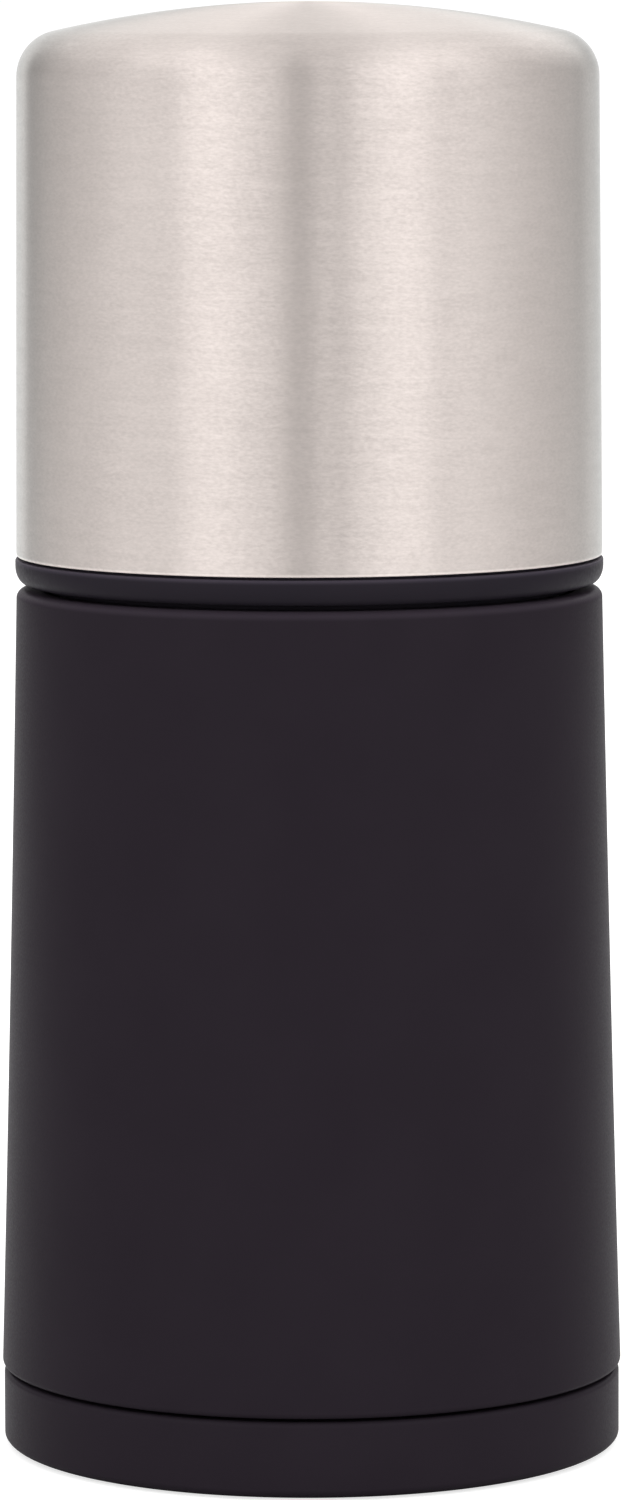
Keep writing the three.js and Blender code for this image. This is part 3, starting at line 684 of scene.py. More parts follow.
def brushed_steel(name, colour, rough, anisotropy, line_pitch, contrast, relief):
    """Steel with fine lines that run round the axis, as turning and polishing leave them."""
    tree, shader = new_finish(name)
    place = place_in_mm(tree)
    x, y, z = split(tree, place)
    squares = [maths(tree, "POWER", value, 2) for value in (x, y)]
    across = maths(tree, "SQRT", maths(tree, "ADD", *squares))
    along = maths(tree, "SUBTRACT", across, z)

    def lines(pitch, reach):
        join_up = add(tree, "CombineXYZ")
        shares = (1 / reach, 1 / reach, 1 / pitch)
        for socket, value, share in zip(join_up.inputs, (x, y, along), shares):
            link(tree, maths(tree, "MULTIPLY", value, share), socket)
        return noise(tree, join_up.outputs[0], 1.0, **STEEL_DETAIL)

    fine = lines(line_pitch, line_pitch * FINE_LINE_REACH)
    broad = lines(line_pitch * BROAD_LINE_PITCH, line_pitch * BROAD_LINE_REACH)
    cloudy = noise(tree, place, BRUSHED_CLOUDS)
    mixed = maths(tree, "MULTIPLY", broad, BROAD_LINE_SHARE)
    mixed = maths(tree, "MULTIPLY_ADD", fine, FINE_LINE_SHARE, mixed)
    mixed = maths(tree, "MULTIPLY_ADD", cloudy, CLOUD_SHARE, mixed)
    colours = (shade(colour, 1 - contrast), shade(colour, 1 + contrast))
    # painted highlight: the steel's colour grows lighter towards its rim
    skin = painted_edge_highlight(tree, tinted(tree, mixed, colours, BRUSHED_TRIM), z, *RIM_PAINTED_HIGHLIGHT)
    roughness = between(tree, mixed, rough + BRUSHED_SWING, rough - BRUSHED_SWING, BRUSHED_TRIM)
    link(tree, skin, shader.inputs["Base Color"])
    link(tree, roughness, shader.inputs["Roughness"])
    preset(shader, Metallic=1.0, Anisotropic=anisotropy,
           Anisotropic_Rotation=LINES_ACROSS_TANGENT, Specular_Tint=STEEL_TINT)
    tangent = add(tree, "Tangent")
    tangent.direction_type = "RADIAL"
    tangent.axis = "Z"
    link(tree, tangent.outputs[0], shader.inputs["Tangent"])
    bump(tree, shader, fine, relief)


def plain_steel(name, colour, rough, grain, relief):
    """Steel with a fine even grain, as etching, drawing or plating leaves it."""
    tree, shader = new_finish(name)
    place = place_in_mm(tree)
    speck = noise(tree, place, grain, **STEEL_DETAIL)
    cloud = noise(tree, place, STEEL_CLOUDS)
    less, more = STEEL_SWING
    skin = tinted(tree, cloud, (shade(colour, CLOUD_SHADE), colour))
    link(tree, skin, shader.inputs["Base Color"])
    link(tree, between(tree, speck, rough - less, rough + more), shader.inputs["Roughness"])
    preset(shader, Metallic=1.0)
    bump(tree, shader, speck, relief)


def moulded(name, colours, rough, index, grain, relief, edge=None):
    """Plastic or rubber with a fine skin.

    The index is that of refraction, the grain is in specks per mm, and the edge is a painted
    highlight, given as the rim's is.
    """
    tree, shader = new_finish(name)
    place = place_in_mm(tree)
    cloud = noise(tree, place, MOULDED_CLOUDS, 3.0)
    speck = noise(tree, place, grain)
    skin = tinted(tree, cloud, colours)
    # painted highlight: the colour grows lighter towards the given edge
    if edge:
        skin = painted_edge_highlight(tree, skin, split(tree, place)[2], *edge)
    roughness = between(tree, speck, rough - MOULDED_SWING, rough + MOULDED_SWING)
    link(tree, skin, shader.inputs["Base Color"])
    link(tree, roughness, shader.inputs["Roughness"])
    preset(shader, IOR=index)
    bump(tree, shader, speck, relief)


brushed_steel("brushed_cap", (0.62, 0.559, 0.53), rough=0.38, anisotropy=1.0,
              line_pitch=0.2, contrast=0.055, relief=0.008)
# painted highlight on the body's top edge
moulded("soft_black", ((0.0195, 0.0150, 0.0206), (0.0212, 0.0164, 0.0223)),
        rough=0.45, index=1.1, grain=5.0, relief=0.003, edge=BODY_PAINTED_HIGHLIGHT)
# painted highlight on the collar's top edge
moulded("moulded_black", ((0.0190, 0.0160, 0.0218), (0.0206, 0.0172, 0.0230)),
        rough=0.42, index=1.1, grain=3.0, relief=0.003, edge=COLLAR_PAINTED_HIGHLIGHT)
moulded("inner_plastic", ((0.036, 0.035, 0.040), (0.045, 0.044, 0.049)),
        rough=0.48, index=1.42, grain=3.0, relief=0.005)
plain_steel("blade_steel", (0.60, 0.61, 0.62), rough=0.27, grain=3.5, relief=0.002)
plain_steel("screw_steel", (0.50, 0.51, 0.53), rough=0.3, grain=2.5, relief=0.001)
plain_steel("spring_steel", (0.42, 0.43, 0.45), rough=0.33, grain=2.0, relief=0.001)
moulded("acetal", ((0.76, 0.74, 0.69), (0.82, 0.80, 0.75)),
        rough=0.38, index=1.46, grain=2.0, relief=0.002)
moulded("seal_rubber", ((0.014, 0.014, 0.0155), (0.018, 0.018, 0.020)),
        rough=0.7, index=1.3, grain=4.0, relief=0.006)


def finished(piece, body, slot, node):
    """Gives a piece its body and its finish, and hides the CAD node that it stands for."""
    mesh = piece.data
    mesh.materials.clear()
    mesh.materials.append(FINISHES[slot])
    mesh.shade_smooth()
    mesh.set_sharp_from_angle(angle=SMOOTH_ANGLE)
    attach(piece, body)
    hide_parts(node)


# The outside

def cap_outline(inset):
    """The steel cap's outline from its rim to the axis, moved inward by inset."""
    bend = SHOULDER_BEND - inset
    side = STEEL_SHOULDER - inset
    dome = DOME_RADIUS - inset
    foot = DOME_TOP - DOME_RADIUS
    middle_radius = side - bend
    middle_height = foot + sqrt((dome - bend) ** 2 - middle_radius ** 2)
    meet = degrees(atan2(middle_height - foot, middle_radius))
    return [
        (STEEL_RIM - inset, RIM_LEVEL),
        *arc((middle_radius, middle_height), bend, 0, meet, SHOULDER_STEPS),
        *arc((0, foot), dome, meet, 90, DOME_STEPS)[1:-1],
        (0, foot + dome),
    ]


def steel_skin():
    outer = cap_outline(0)
    inner = cap_outline(STEEL_WALL)
    wall = inner[0][0]
    width, rise = RIM_EDGE
    profile = [
        (wall, RIM_LEVEL + RIM_CHAMFER),
        *inner[1:],
        *outer[:0:-1],
        *arc((STEEL_RIM - width, RIM_LEVEL + rise), width, 0, -90, RIM_STEPS, rise),
        (wall + RIM_CHAMFER, RIM_LEVEL),
    ]
    finished(lathe("cap_skin", profile), "head", "brushed_cap", "steel_cap")


def cap_radius(height):
    """Radius of the cap's straight side at a height."""
    top = cap_outline(0)[1][1]
    share = min(1, (height - RIM_LEVEL) / (top - RIM_LEVEL))
    return STEEL_RIM + (STEEL_SHOULDER - STEEL_RIM) * share


def head_moulding():
    """The moulding in the cap: collar, drum, wall, ribs and the rod's boss."""
    wall_foot = cap_radius(RIM_LEVEL) - HEAD_WALL_SINK
    wall_head = cap_radius(CORE_WALL_TOP) - HEAD_WALL_SINK
    width, rise = COLLAR_EDGE
    profile = soften([
        (0, CORE_FLOOR_LOW), (DRUM_INNER, CORE_FLOOR_LOW, SOFT_EDGE),
        (DRUM_INNER, DRUM_LOW, EDGE), (DRUM, DRUM_LOW, EDGE),
        (DRUM, CORE_LOW, ROUND_EDGE), (SPIGOT, CORE_LOW, EDGE),
        (SPIGOT, COLLAR_LOW, SMALL_EDGE),
        *arc((COLLAR_OUTER - width, COLLAR_LOW + rise), width, -90, 0, COLLAR_STEPS, rise),
        (COLLAR_OUTER, COLLAR_HIGH, SMALL_EDGE), (wall_foot, COLLAR_HIGH, THIN_EDGE),
        (wall_head, CORE_WALL_TOP, ROUND_EDGE), (wall_head - HEAD_WALL, CORE_WALL_TOP, ROUND_EDGE),
        (wall_foot - HEAD_WALL, COLLAR_HIGH, WIDE_FILLET), (DRIVE_BOSS, COLLAR_HIGH, FILLET),
        (DRIVE_BOSS, DRIVE_BOSS_TOP, ROUND_EDGE), (0, DRIVE_BOSS_TOP),
    ])
    piece = lathe("head_moulding", profile)
    join(piece, shapes(blocks, RIB_NEAR, wall_foot - HEAD_WALL / 2, RIB_WIDTH,
                       COLLAR_HIGH - RIB_SINK, COLLAR_HIGH + RIB_RISE, 0, RIBS))
    bores = bmesh.new()
    hex_socket(bores, *ROD_WELL)
    pillars(bores, MEDIUM_HOLE, DRUM_LOW - CUT_PAST, KEEPER_LOW + KEEPER_SCREW_REACH,
            KEEPER_SCREWS, KEEPER_AT)
    cut(piece, bores)
    finished(piece, "head", "moulded_black", "head_core")


def body_radius(height):
    """Radius of the body's outside at a height."""
    share = (height - BODY_LOW) / (BODY_HIGH - BODY_LOW)
    return BODY_BOTTOM + (BODY_TOP - BODY_BOTTOM) * share - 4 * share * (1 - share) * BODY_BOW


def body_sleeve():
    """The body: a tapered shell with a deck at its top and a thread and screw pillars inside."""
    shoulder = BODY_HIGH - BODY_TOP_BEND
    low_edge = BODY_LOW + SEAM_BEND
    heights = [low_edge + (shoulder - low_edge) * i / BODY_STEPS for i in range(BODY_STEPS + 1)]
    above = low_edge + ASIDE
    foot = soften([
        (BORE, BODY_LOW, EDGE), (body_radius(BODY_LOW), BODY_LOW, SEAM_BEND),
        (body_radius(above), above),
    ])[:-1]
    deck = soften([
        (DECK_RECESS + ASIDE, BODY_HIGH), (DECK_RECESS, BODY_HIGH, EDGE),
        (DECK_RECESS, DECK_HIGH, ROUND_EDGE), (DECK_BORE, DECK_HIGH, EDGE),
        (DECK_BORE, DECK_LOW, EDGE), (DECK_BORE + ASIDE, DECK_LOW),
    ])[1:-1]
    drop = DECK_LOW - BOSS_LOW
    inside = [DECK_LOW - drop * i / BODY_INSIDE_STEPS for i in range(BODY_INSIDE_STEPS + 1)]
    top_bend = (body_radius(shoulder) - BODY_TOP_BEND, shoulder)
    profile = [
        *foot,
        *[(body_radius(z), z) for z in heights[1:]],
        *arc(top_bend, BODY_TOP_BEND, 0, 90, BODY_TOP_STEPS)[1:],
        *deck,
        *[(body_radius(z) - BODY_WALL, z) for z in inside],
        (BORE, BOSS_LOW),
    ]
    piece = lathe("body_sleeve", profile)
    boss_top = BOSS_LOW + PILLAR_HEIGHT
    join(piece, shapes(pillars, PILLAR, BOSS_LOW, boss_top, TUBE_SCREWS, SCREWS_AT))
    join(piece, shapes(blocks, TUBE_SCREWS, body_radius(boss_top) - PILLAR_WEB_SINK, PILLAR_WEB,
                       BOSS_LOW + WEB_INSET, boss_top - WEB_DROP, SCREWS_AT, SCREWS))
    thread(piece, BORE, -RIDGE_HEIGHT, 180 / THREAD_STARTS)
    cut(piece, shapes(pillars, MEDIUM_HOLE, BOSS_LOW - CUT_PAST, FLANGE_LOW + TUBE_SCREW_REACH,
                      TUBE_SCREWS, SCREWS_AT))
    finished(piece, "body", "soft_black", "body_shell")


def foot_cup():
    width, rise = BASE_EDGE
    foot_inner = BASE_OUTER - width - FOOT_WIDTH
    profile = soften([
        (0, FOOT_RECESS), (foot_inner - FOOT_RECESS, FOOT_RECESS, EDGE),
        (foot_inner, 0, SMALL_EDGE),
        *arc((BASE_OUTER - width, rise), width, -90, 0, FOOT_STEPS, rise),
        (BASE_OUTER, BASE_TOP, SEAM_BEND), (CUP_INNER, BASE_TOP, CUP_LIP_EDGE),
        (CUP_INNER, CUP_FLOOR, WIDE_FILLET), (0, CUP_FLOOR),
    ], FINE_STEP)
    finished(lathe("foot_cup", profile), "base", "soft_black", "base_cap")


# The ring, the seal and the blade unit

def thread_ring():
    """The locking ring: a threaded skirt, a web and a slotted rim with the seal's groove."""
    half = SEAL_SECTION + TOUCH_GAP
    groove = SEAL_CENTRE - SEAL_SECTION - TOUCH_GAP
    profile = soften([
        (RING_MOUTH, WEB_TOP - RING_WEB, SMALL_EDGE), (RIM_INNER, WEB_TOP - RING_WEB, SOFT_EDGE),
        (RIM_INNER, RING_LOW, ROUND_EDGE), (RIM_OUTER, RING_LOW, ROUND_EDGE),
        (RIM_OUTER, SEAL_LEVEL - half, TINY_EDGE), (groove, SEAL_LEVEL - half, SMALL_EDGE),
        (groove, SEAL_LEVEL + half, SMALL_EDGE), (RIM_OUTER, SEAL_LEVEL + half, TINY_EDGE),
        (RIM_OUTER, BASE_TOP, SMALL_EDGE), (SKIRT, BASE_TOP, EDGE),
        (SKIRT, SKIRT_TOP, SOFT_EDGE), (SKIRT_INNER, SKIRT_TOP, ROUND_EDGE),
        (SKIRT_INNER, WEB_TOP, ROUND_EDGE), (RING_MOUTH, WEB_TOP, EDGE),
    ])
    piece = lathe("thread_ring", profile)
    cut(piece, shapes(blocks, RIM_INNER - CUT_PAST, RIM_OUTER + CUT_PAST, SLOT_WIDTH,
                      RING_LOW - CUT_PAST, RING_LOW + SLOT_DEPTH, 0, RING_SLOTS))
    thread(piece, SKIRT, RIDGE_HEIGHT, 0)
    finished(piece, "ring", "moulded_black", "locking_ring")


def seal_cord():
    section = arc((SEAL_CENTRE, SEAL_LEVEL), SEAL_SECTION, 0, 360, SEAL_STEPS)[:-1]
    finished(lathe("seal_cord", section), "ring", "seal_rubber", "seal_ring")


def disc_holder():
    """The blade's holder: a ring with an upstand, notched for the tube's keys."""
    profile = soften([
        (HOLDER_MOUTH, HOLDER_LOW, ROUND_EDGE), (HOLDER, HOLDER_LOW, SOFT_EDGE),
        (HOLDER, UPSTAND_TOP, ROUND_EDGE), (UPSTAND_INNER, UPSTAND_TOP, ROUND_EDGE),
        (UPSTAND_INNER, HOLDER_HIGH, SEAT_EDGE), (HOLDER_MOUTH, HOLDER_HIGH, EDGE),
    ])
    piece = lathe("disc_holder", profile, MEDIUM)
    gaps = bmesh.new()
    key_low = CLAMP_HIGH + RUNNING_GAP
    blocks(gaps, UPSTAND_INNER - CUT_PAST, HOLDER + CUT_PAST, KEY_WIDTH + 2 * RUNNING_GAP,
           key_low - RUNNING_GAP, UPSTAND_TOP + CUT_PAST, 0, KEYS)
    pillars(gaps, SMALL_HOLE, HOLDER_LOW - CUT_PAST, HOLDER_HIGH + CUT_PAST,
            BLADE_SCREWS, SCREWS_AT)
    cut(piece, gaps)
    finished(piece, "blade_unit", "moulded_black", "blade_holder")


def each_tooth():
    """The radius and the angle, in radians, of each tooth, in staggered rings."""
    for ring in range(1, TOOTH_RINGS + 1):
        radius = ring * TOOTH_RING_STEP
        count = round(2 * pi * radius / TOOTH_PITCH)
        for i in range(count):
            yield radius, (i + ring / 2) / count * 2 * pi


def tooth_window(bm, place):
    """A window in front of a tooth, its far end rounded."""
    half = TOOTH_WIDTH / 2
    outline = [(-half, 0.0), (half, 0.0)]
    for k in range(WINDOW_STEPS + 1):
        angle = pi * k / WINDOW_STEPS
        outline.append((half * WINDOW_NARROWING * cos(angle),
                        WINDOW_STRAIGHT + (TOOTH_LENGTH - WINDOW_STRAIGHT) * sin(angle)))
    levels = (BLADE_LOW - CUT_PAST, BLADE_HIGH + CUT_PAST)
    sweep(bm, 2, lambda i: [place @ Vector((x, y, levels[i])) for x, y in outline])


def tooth_lip(bm, place):
    """The raised cutting lip behind a window: a thin tongue that climbs to a sharp, curved edge."""
    across, up = LIP_STEPS_ACROSS, LIP_STEPS_UP
    half = TOOTH_WIDTH / 2
    root = BLADE_LOW + LIP_SINK
    top, under = [], []
    for i in range(up + 1):
        share = i / up
        top_row, under_row = [], []
        for k in range(across + 1):
            side = 2 * k / across - 1
            arch = 1 - LIP_DROOP * side ** 4
            overhang = TOOTH_OVERHANG * (1 - LIP_BOW * side ** 2)
            reach = -TOOTH_LENGTH + (TOOTH_LENGTH + overhang) * share
            climb = TOOTH_HEIGHT * share ** LIP_CLIMB * arch
            wall = LIP_EDGE + LIP_THICKENING * (1 - share)
            low = max(root, BLADE_HIGH + climb - wall) if share > LIP_FREE else root
            top_row.append(bm.verts.new(place @ Vector((half * side, reach, BLADE_HIGH + climb))))
            under_row.append(bm.verts.new(place @ Vector((half * side, reach, low))))
        top.append(top_row)
        under.append(under_row)
    for i in range(up):
        for k in range(across):
            bm.faces.new((top[i][k], top[i][k + 1], top[i + 1][k + 1], top[i + 1][k]))
            bm.faces.new((under[i][k], under[i + 1][k], under[i + 1][k + 1], under[i][k + 1]))
        for k, order in ((0, 1), (across, -1)):
            edge = [top[i][k], top[i + 1][k], under[i + 1][k], under[i][k]]
            bm.faces.new(edge[::order])
    for row, order in ((0, 1), (up, -1)):
        for k in range(across):
            edge = [top[row][k], under[row][k], under[row][k + 1], top[row][k + 1]]
            bm.faces.new(edge[::order])


def grating_disc():
    profile = soften([
        (0, BLADE_LOW), (BLADE, BLADE_LOW, SHEET_EDGE),
        (BLADE, BLADE_HIGH, SHEET_EDGE), (0, BLADE_HIGH),
    ], THIN_STEP)
    piece = lathe("grating_disc", profile, MEDIUM)
    windows = bmesh.new()
    lips = bmesh.new()
    for radius, angle in each_tooth():
        place = Matrix.Rotation(angle, 4, "Z") @ Matrix.Translation((radius, 0, 0))
        tooth_window(windows, place)
        tooth_lip(lips, place)
    pillars(windows, SMALL_HOLE, BLADE_LOW - CUT_PAST, BLADE_HIGH + CUT_PAST,
            BLADE_SCREWS, SCREWS_AT)
    cut(piece, windows)
    join(piece, lips)
    finished(piece, "blade_unit", "blade_steel", "blade_disc")


def disc_clamp():
    edges = (THIN_EDGE, THIN_EDGE, ROUND_EDGE, ROUND_EDGE)
    profile = flat_ring(CLAMP_BORE, BLADE, CLAMP_LOW, CLAMP_HIGH, edges)
    piece = lathe("disc_clamp", profile, MEDIUM)
    drill(piece, SMALL_HOLE, CLAMP_LOW, CLAMP_HIGH, BLADE_SCREWS, SCREWS_AT)
    finished(piece, "blade_unit", "inner_plastic", "blade_clamp_ring")


# Inside the body and the head

def nutmeg_tube():
    flange = BORE - RUNNING_GAP
    profile = soften([
        (TUBE_INNER, CLAMP_LOW, EDGE), (TUBE_OUTER, CLAMP_LOW, EDGE),
        (TUBE_OUTER, FLANGE_LOW, FILLET), (flange, FLANGE_LOW, ROUND_EDGE),
        (flange, FLANGE_HIGH, EDGE), (TUBE_OUTER, FLANGE_HIGH, FILLET),
        (TUBE_OUTER, TUBE_HIGH, ROUND_EDGE), (TUBE_INNER, TUBE_HIGH, SOFT_EDGE),
    ])
    piece = lathe("nutmeg_tube", profile, MEDIUM)
    join(piece, shapes(blocks, TUBE_OUTER - KEY_SINK, HOLDER - RUNNING_GAP, KEY_WIDTH,
                       CLAMP_HIGH + RUNNING_GAP, FLANGE_LOW + KEY_ROOT, 0, KEYS))
    drill(piece, MEDIUM_HOLE, FLANGE_LOW, FLANGE_HIGH, TUBE_SCREWS, SCREWS_AT)
    finished(piece, "body", "inner_plastic", "chamber_tube")


def glide_washer():
    low = DECK_HIGH + TOUCH_GAP
    profile = flat_ring(DECK_BORE + RUNNING_GAP, SPIGOT - GLIDE_MARGIN, low, low + GLIDE_WASHER,
                        [WASHER_EDGE] * 4, THIN_STEP)
    piece = lathe("glide_washer", profile, MEDIUM)
    finished(piece, "body", "acetal", "bearing_washer")


def keeper_ring():
    edges = (EDGE, ROUND_EDGE, EDGE, EDGE)
    profile = flat_ring(DRUM_INNER, DRUM + KEEPER_LIP, KEEPER_LOW, KEEPER_HIGH, edges)
    piece = lathe("keeper_ring", profile, MEDIUM)
    drill(piece, MEDIUM_HOLE, KEEPER_LOW, KEEPER_HIGH, KEEPER_SCREWS, KEEPER_AT)
    finished(piece, "head", "inner_plastic", "retaining_ring")


def hex_rod():
    corner = ROD_HALF_FLATS / cos(pi / HEX_SIDES)
    profile = [
        (0, ROD_LOW),
        (corner - ROD_CHAMFER, ROD_LOW),
        (corner, ROD_LOW + ROD_CHAMFER),
        (corner, DRIVE_BOSS_TOP - ROD_CHAMFER),
        (corner - ROD_CHAMFER, DRIVE_BOSS_TOP),
        (0, DRIVE_BOSS_TOP),
    ]
    piece = lathe("hex_rod", profile, HEX_SIDES, HEX_START)
    bores = bmesh.new()
    pillar(bores, LARGE_HOLE, ROD_LOW - CUT_PAST, CARRIER_LOW + ROD_SCREW_REACH)
    pillar(bores, LARGE_HOLE, STOP_WASHER_HIGH - ROD_SCREW_REACH, DRIVE_BOSS_TOP + CUT_PAST)
    cut(piece, bores)
    finished(piece, "plunger", "screw_steel", "drive_rod")


def prong_disc():
    """The carrier: a disc with holes for the prongs and a hub for the rod."""
    profile = soften([
        (0, CARRIER_LOW), (CARRIER, CARRIER_LOW, SOFT_EDGE),
        (CARRIER, CARRIER_HIGH, SOFT_EDGE), (HUB, CARRIER_HIGH, FILLET),
        (HUB, HUB_HIGH, SOFT_EDGE), (0, HUB_HIGH),
    ])
    piece = lathe("prong_disc", profile, MEDIUM)
    hub_floor = CARRIER_LOW + HUB_FLOOR
    holes = bmesh.new()
    hex_socket(holes, hub_floor, HUB_HIGH + CUT_PAST)
    pillars(holes, PRONG_HOLE, CARRIER_LOW - CUT_PAST, CARRIER_LOW + PRONG_SOCKET,
            PRONG_CIRCLE, PRONGS_AT, PRONGS)
    cut(piece, holes)
    cut(piece, shapes(pillar, LARGE_HOLE, CARRIER_LOW - CUT_PAST, hub_floor + CUT_PAST))
    finished(piece, "plunger", "moulded_black", "prong_carrier")


def prong_pins():
    point, point_rise = PRONG_POINT
    profile = soften([
        (0, CARRIER_LOW - PRONG_REACH),
        (point, CARRIER_LOW - (PRONG_REACH - point_rise)),
        (PRONG, CARRIER_LOW - PRONG_TAPER, PRONG_BEND),
        (PRONG, CARRIER_LOW + PRONG_ROOT, THIN_EDGE), (0, CARRIER_LOW + PRONG_ROOT),
    ])
    for number, angle in enumerate(angles_of(PRONGS, PRONGS_AT), 1):
        pin = shapes(moved, profile, PIN_SIDES, *on_circle(PRONG_CIRCLE, angle))
        piece = keep(f"prong_pin_{number}", pin)
        finished(piece, "plunger", "blade_steel", f"prong_{number}")


def screw(name, node, body, sizes, reach, circle, angle, face, points_up):
    """A pan-headed screw with a cross recess and a thread below a short plain neck."""
    head, height, shank = sizes
    pitch = shank * PITCH_SHARE
    profile = [
        (0, -height),
        *[(head * out, -height * up) for out, up in PAN_HEAD],
        (head, -HEAD_EDGE),
        (head - HEAD_EDGE, 0),
        (shank, 0),
    ]
    level = NECK
    while level + pitch < reach - shank:
        profile += [(shank, level), (shank * ROOT_SHARE, level + pitch * 0.5)]
        level += pitch
    profile += [(shank, level), (shank * END_SHARE, reach - shank), (0, reach)]
    piece = lathe(name, profile, SCREW_SIDES)
    for spin in (0, 90):
        cut(piece, shapes(block, -head * RECESS_HALF, head * RECESS_HALF, head * RECESS_WIDTH,
                          -height - CUT_PAST, -height * RECESS_FLOOR, spin))
    under = face + (-TOUCH_GAP if points_up else TOUCH_GAP)
    place = Matrix.Translation(Vector((*on_circle(circle, angle), under)) * MM)
    turned = Matrix.Rotation(radians(angle), 4, "Z")
    flip = Matrix.Identity(4) if points_up else Matrix.Rotation(pi, 4, "X")
    piece.data.transform(place @ turned @ flip)
    finished(piece, body, "screw_steel", node)


def screws():
    for number, turned in enumerate(angles_of(SCREWS, 0), 1):
        lower, upper = SCREWS_AT + turned, KEEPER_AT + turned
        screw(f"blade_fixing_{number}", f"blade_screw_{number}", "blade_unit", SMALL_SCREW,
              BLADE_SCREW_REACH, BLADE_SCREWS, lower, CLAMP_HIGH, False)
        screw(f"tube_fixing_{number}", f"chamber_screw_{number}", "body", MEDIUM_SCREW,
              TUBE_SCREW_REACH, TUBE_SCREWS, lower, FLANGE_LOW, True)
        screw(f"keeper_fixing_{number}", f"retaining_screw_{number}", "head", MEDIUM_SCREW,
              KEEPER_SCREW_REACH, KEEPER_SCREWS, upper, KEEPER_LOW, True)
    screw("prong_disc_fixing", "carrier_screw", "plunger", LARGE_SCREW,
          ROD_SCREW_REACH, 0, 0, CARRIER_LOW, True)
    screw("rod_end_fixing", "stop_screw", "plunger", LARGE_SCREW,
          ROD_SCREW_REACH, 0, 0, STOP_WASHER_HIGH, False)


def rod_stop():
    profile = flat_ring(LARGE_HOLE, STOP_WASHER, STOP_WASHER_LOW, STOP_WASHER_HIGH,
                        (TINY_EDGE, SMALL_EDGE, SMALL_EDGE, TINY_EDGE), THIN_STEP)
    piece = lathe("rod_stop", profile, WASHER_SIDES)
    finished(piece, "plunger", "screw_steel", "stop_washer")


def coil_spring():
    """Round wire with closed end turns, built at rest. The real one shortens towards its upper end
    as the plunger rises.
    """
    low, high = SPRING_LOW + WIRE, SPRING_HIGH - WIRE
    rise = (high - low - 2 * END_TURNS * END_PITCH) / ACTIVE_TURNS
    steps = (ACTIVE_TURNS + 2 * END_TURNS) * COIL_STEPS

    def centre(i):
        turned = i / COIL_STEPS
        active = min(max(turned - END_TURNS, 0), ACTIVE_TURNS)
        angle = 2 * pi * turned
        level = low + active * rise + (turned - active) * END_PITCH
        return Vector((COIL * cos(angle), COIL * sin(angle), level))

    def section(i):
        ahead = (centre(min(i + 1, steps)) - centre(max(i - 1, 0))).normalized()
        here = centre(i)
        out = Vector((here.x, here.y, 0)).normalized()
        up = ahead.cross(out).normalized()
        out = up.cross(ahead)
        angles = [2 * pi * k / WIRE_SIDES for k in range(WIRE_SIDES)]
        return [here + (out * cos(a) + up * sin(a)) * WIRE for a in angles]

    piece = keep("coil_spring", shapes(sweep, steps + 1, section))
    finished(piece, "head", "spring_steel", "plunger_spring")
    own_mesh(piece)


# The studio

SENSOR_WIDTH = 36
FOCAL_LENGTH = 173.04
CAMERA_PLACE = (0.0001, -0.6463, 0.1323)  # in metres, as the next line
CAMERA_NEAR, CAMERA_FAR = 0.01, 100
CAMERA_DIP = 6.125
CAMERA_ROLL = -0.17

# How bright the tent is near the horizon, by degrees round the object: 0 is the camera's side, and
# plus is to its right. There is a dim gap round the camera, a wide lit sheet at each side of it, a
# dim corner at the back on both sides and the white backdrop behind the object.
TENT = ((-180, 1.04), (-172, 1), (-158, 0.85), (-151, 0.85), (-144, 0.02), (-137, 0.02),
        (-118, 0.25), (-100, 0.61), (-80, 1.07), (-56, 0.93), (-45, 1.98), (-34, 2.21),
        (-20, 1.59), (-12, 1.12), (-6, 0.02), (0, 0.05), (6, 1.14), (12, 0.56), (21, 1.67),
        (33, 2.14), (44, 2.04), (54, 1.09), (64, 1.19), (81, 1), (104, 0.5), (118, 0.22),
        (136, 0.02), (146, 0.49), (158, 0.65), (172, 1), (180, 1.04))
TENT_TOP = 1.2
TENT_SIDES_END, TENT_TOP_BEGINS = 6, 50  # the elevations between which the sides turn into the top
TENT_SCALE = 3.0  # a colour ramp holds no more than 1, so it holds the levels over this
# Soft round lights on the tent: their place round the object and their elevation, how far they
# reach from their middle, how far their full strength does, and that strength
SOFT_LIGHTS = ((180, 28, 38, 8, 0.08), (-130, 30, 32, 8, 0.38), (130, 30, 32, 8, 0.38),
               (148, 27, 18, 4, 0.7), (-66, 44, 26, 6, 0.72), (66, 44, 26, 6, 0.72))

FLOOR_RINGS = (0.3, 0.6, 1.0, 1.5, 2.2)  # radii in metres
FLOOR_SIDES = 96
FLOOR_DROP = 0.02  # how far it lies under the object's foot
FLOOR_GREY = 0.52
FLOOR_GLOW = 0.7  # its own light, as the camera sees it
MIRRORED_GLOW = 0.52  # the same, as it is mirrored or seen through a piece
FOOT_PAINTED_SHADOW = (0.0272, 0.0288)  # in metres, as the next line: where the mirrored glow sets in; inside it lies a painted shadow under the foot, which only reflections show
FLOOR_FADE = (0.5, 2.1)  # where the floor begins to fade and where it is gone


def camera():
    """The photograph's view: a long lens, a little above the cap, looking slightly down."""
    lens = bpy.data.cameras.new("camera")
    lens.sensor_width = SENSOR_WIDTH
    lens.lens = FOCAL_LENGTH
    lens.clip_start = CAMERA_NEAR
    lens.clip_end = CAMERA_FAR
    eye = new_object("camera", lens)
    place = Matrix.Translation(CAMERA_PLACE)
    tip = Matrix.Rotation(pi / 2 - radians(CAMERA_DIP), 4, "X")
    roll = Matrix.Rotation(radians(CAMERA_ROLL), 4, "Z")
    eye.matrix_world = place @ tip @ roll
    bpy.context.scene.camera = eye


def direction(turned, rise):
    """The direction at an angle round the object and an angle above the horizon."""
    turned, rise = radians(turned), radians(rise)
    flat = cos(rise)
    return Vector((sin(turned) * flat, -cos(turned) * flat, sin(rise)))


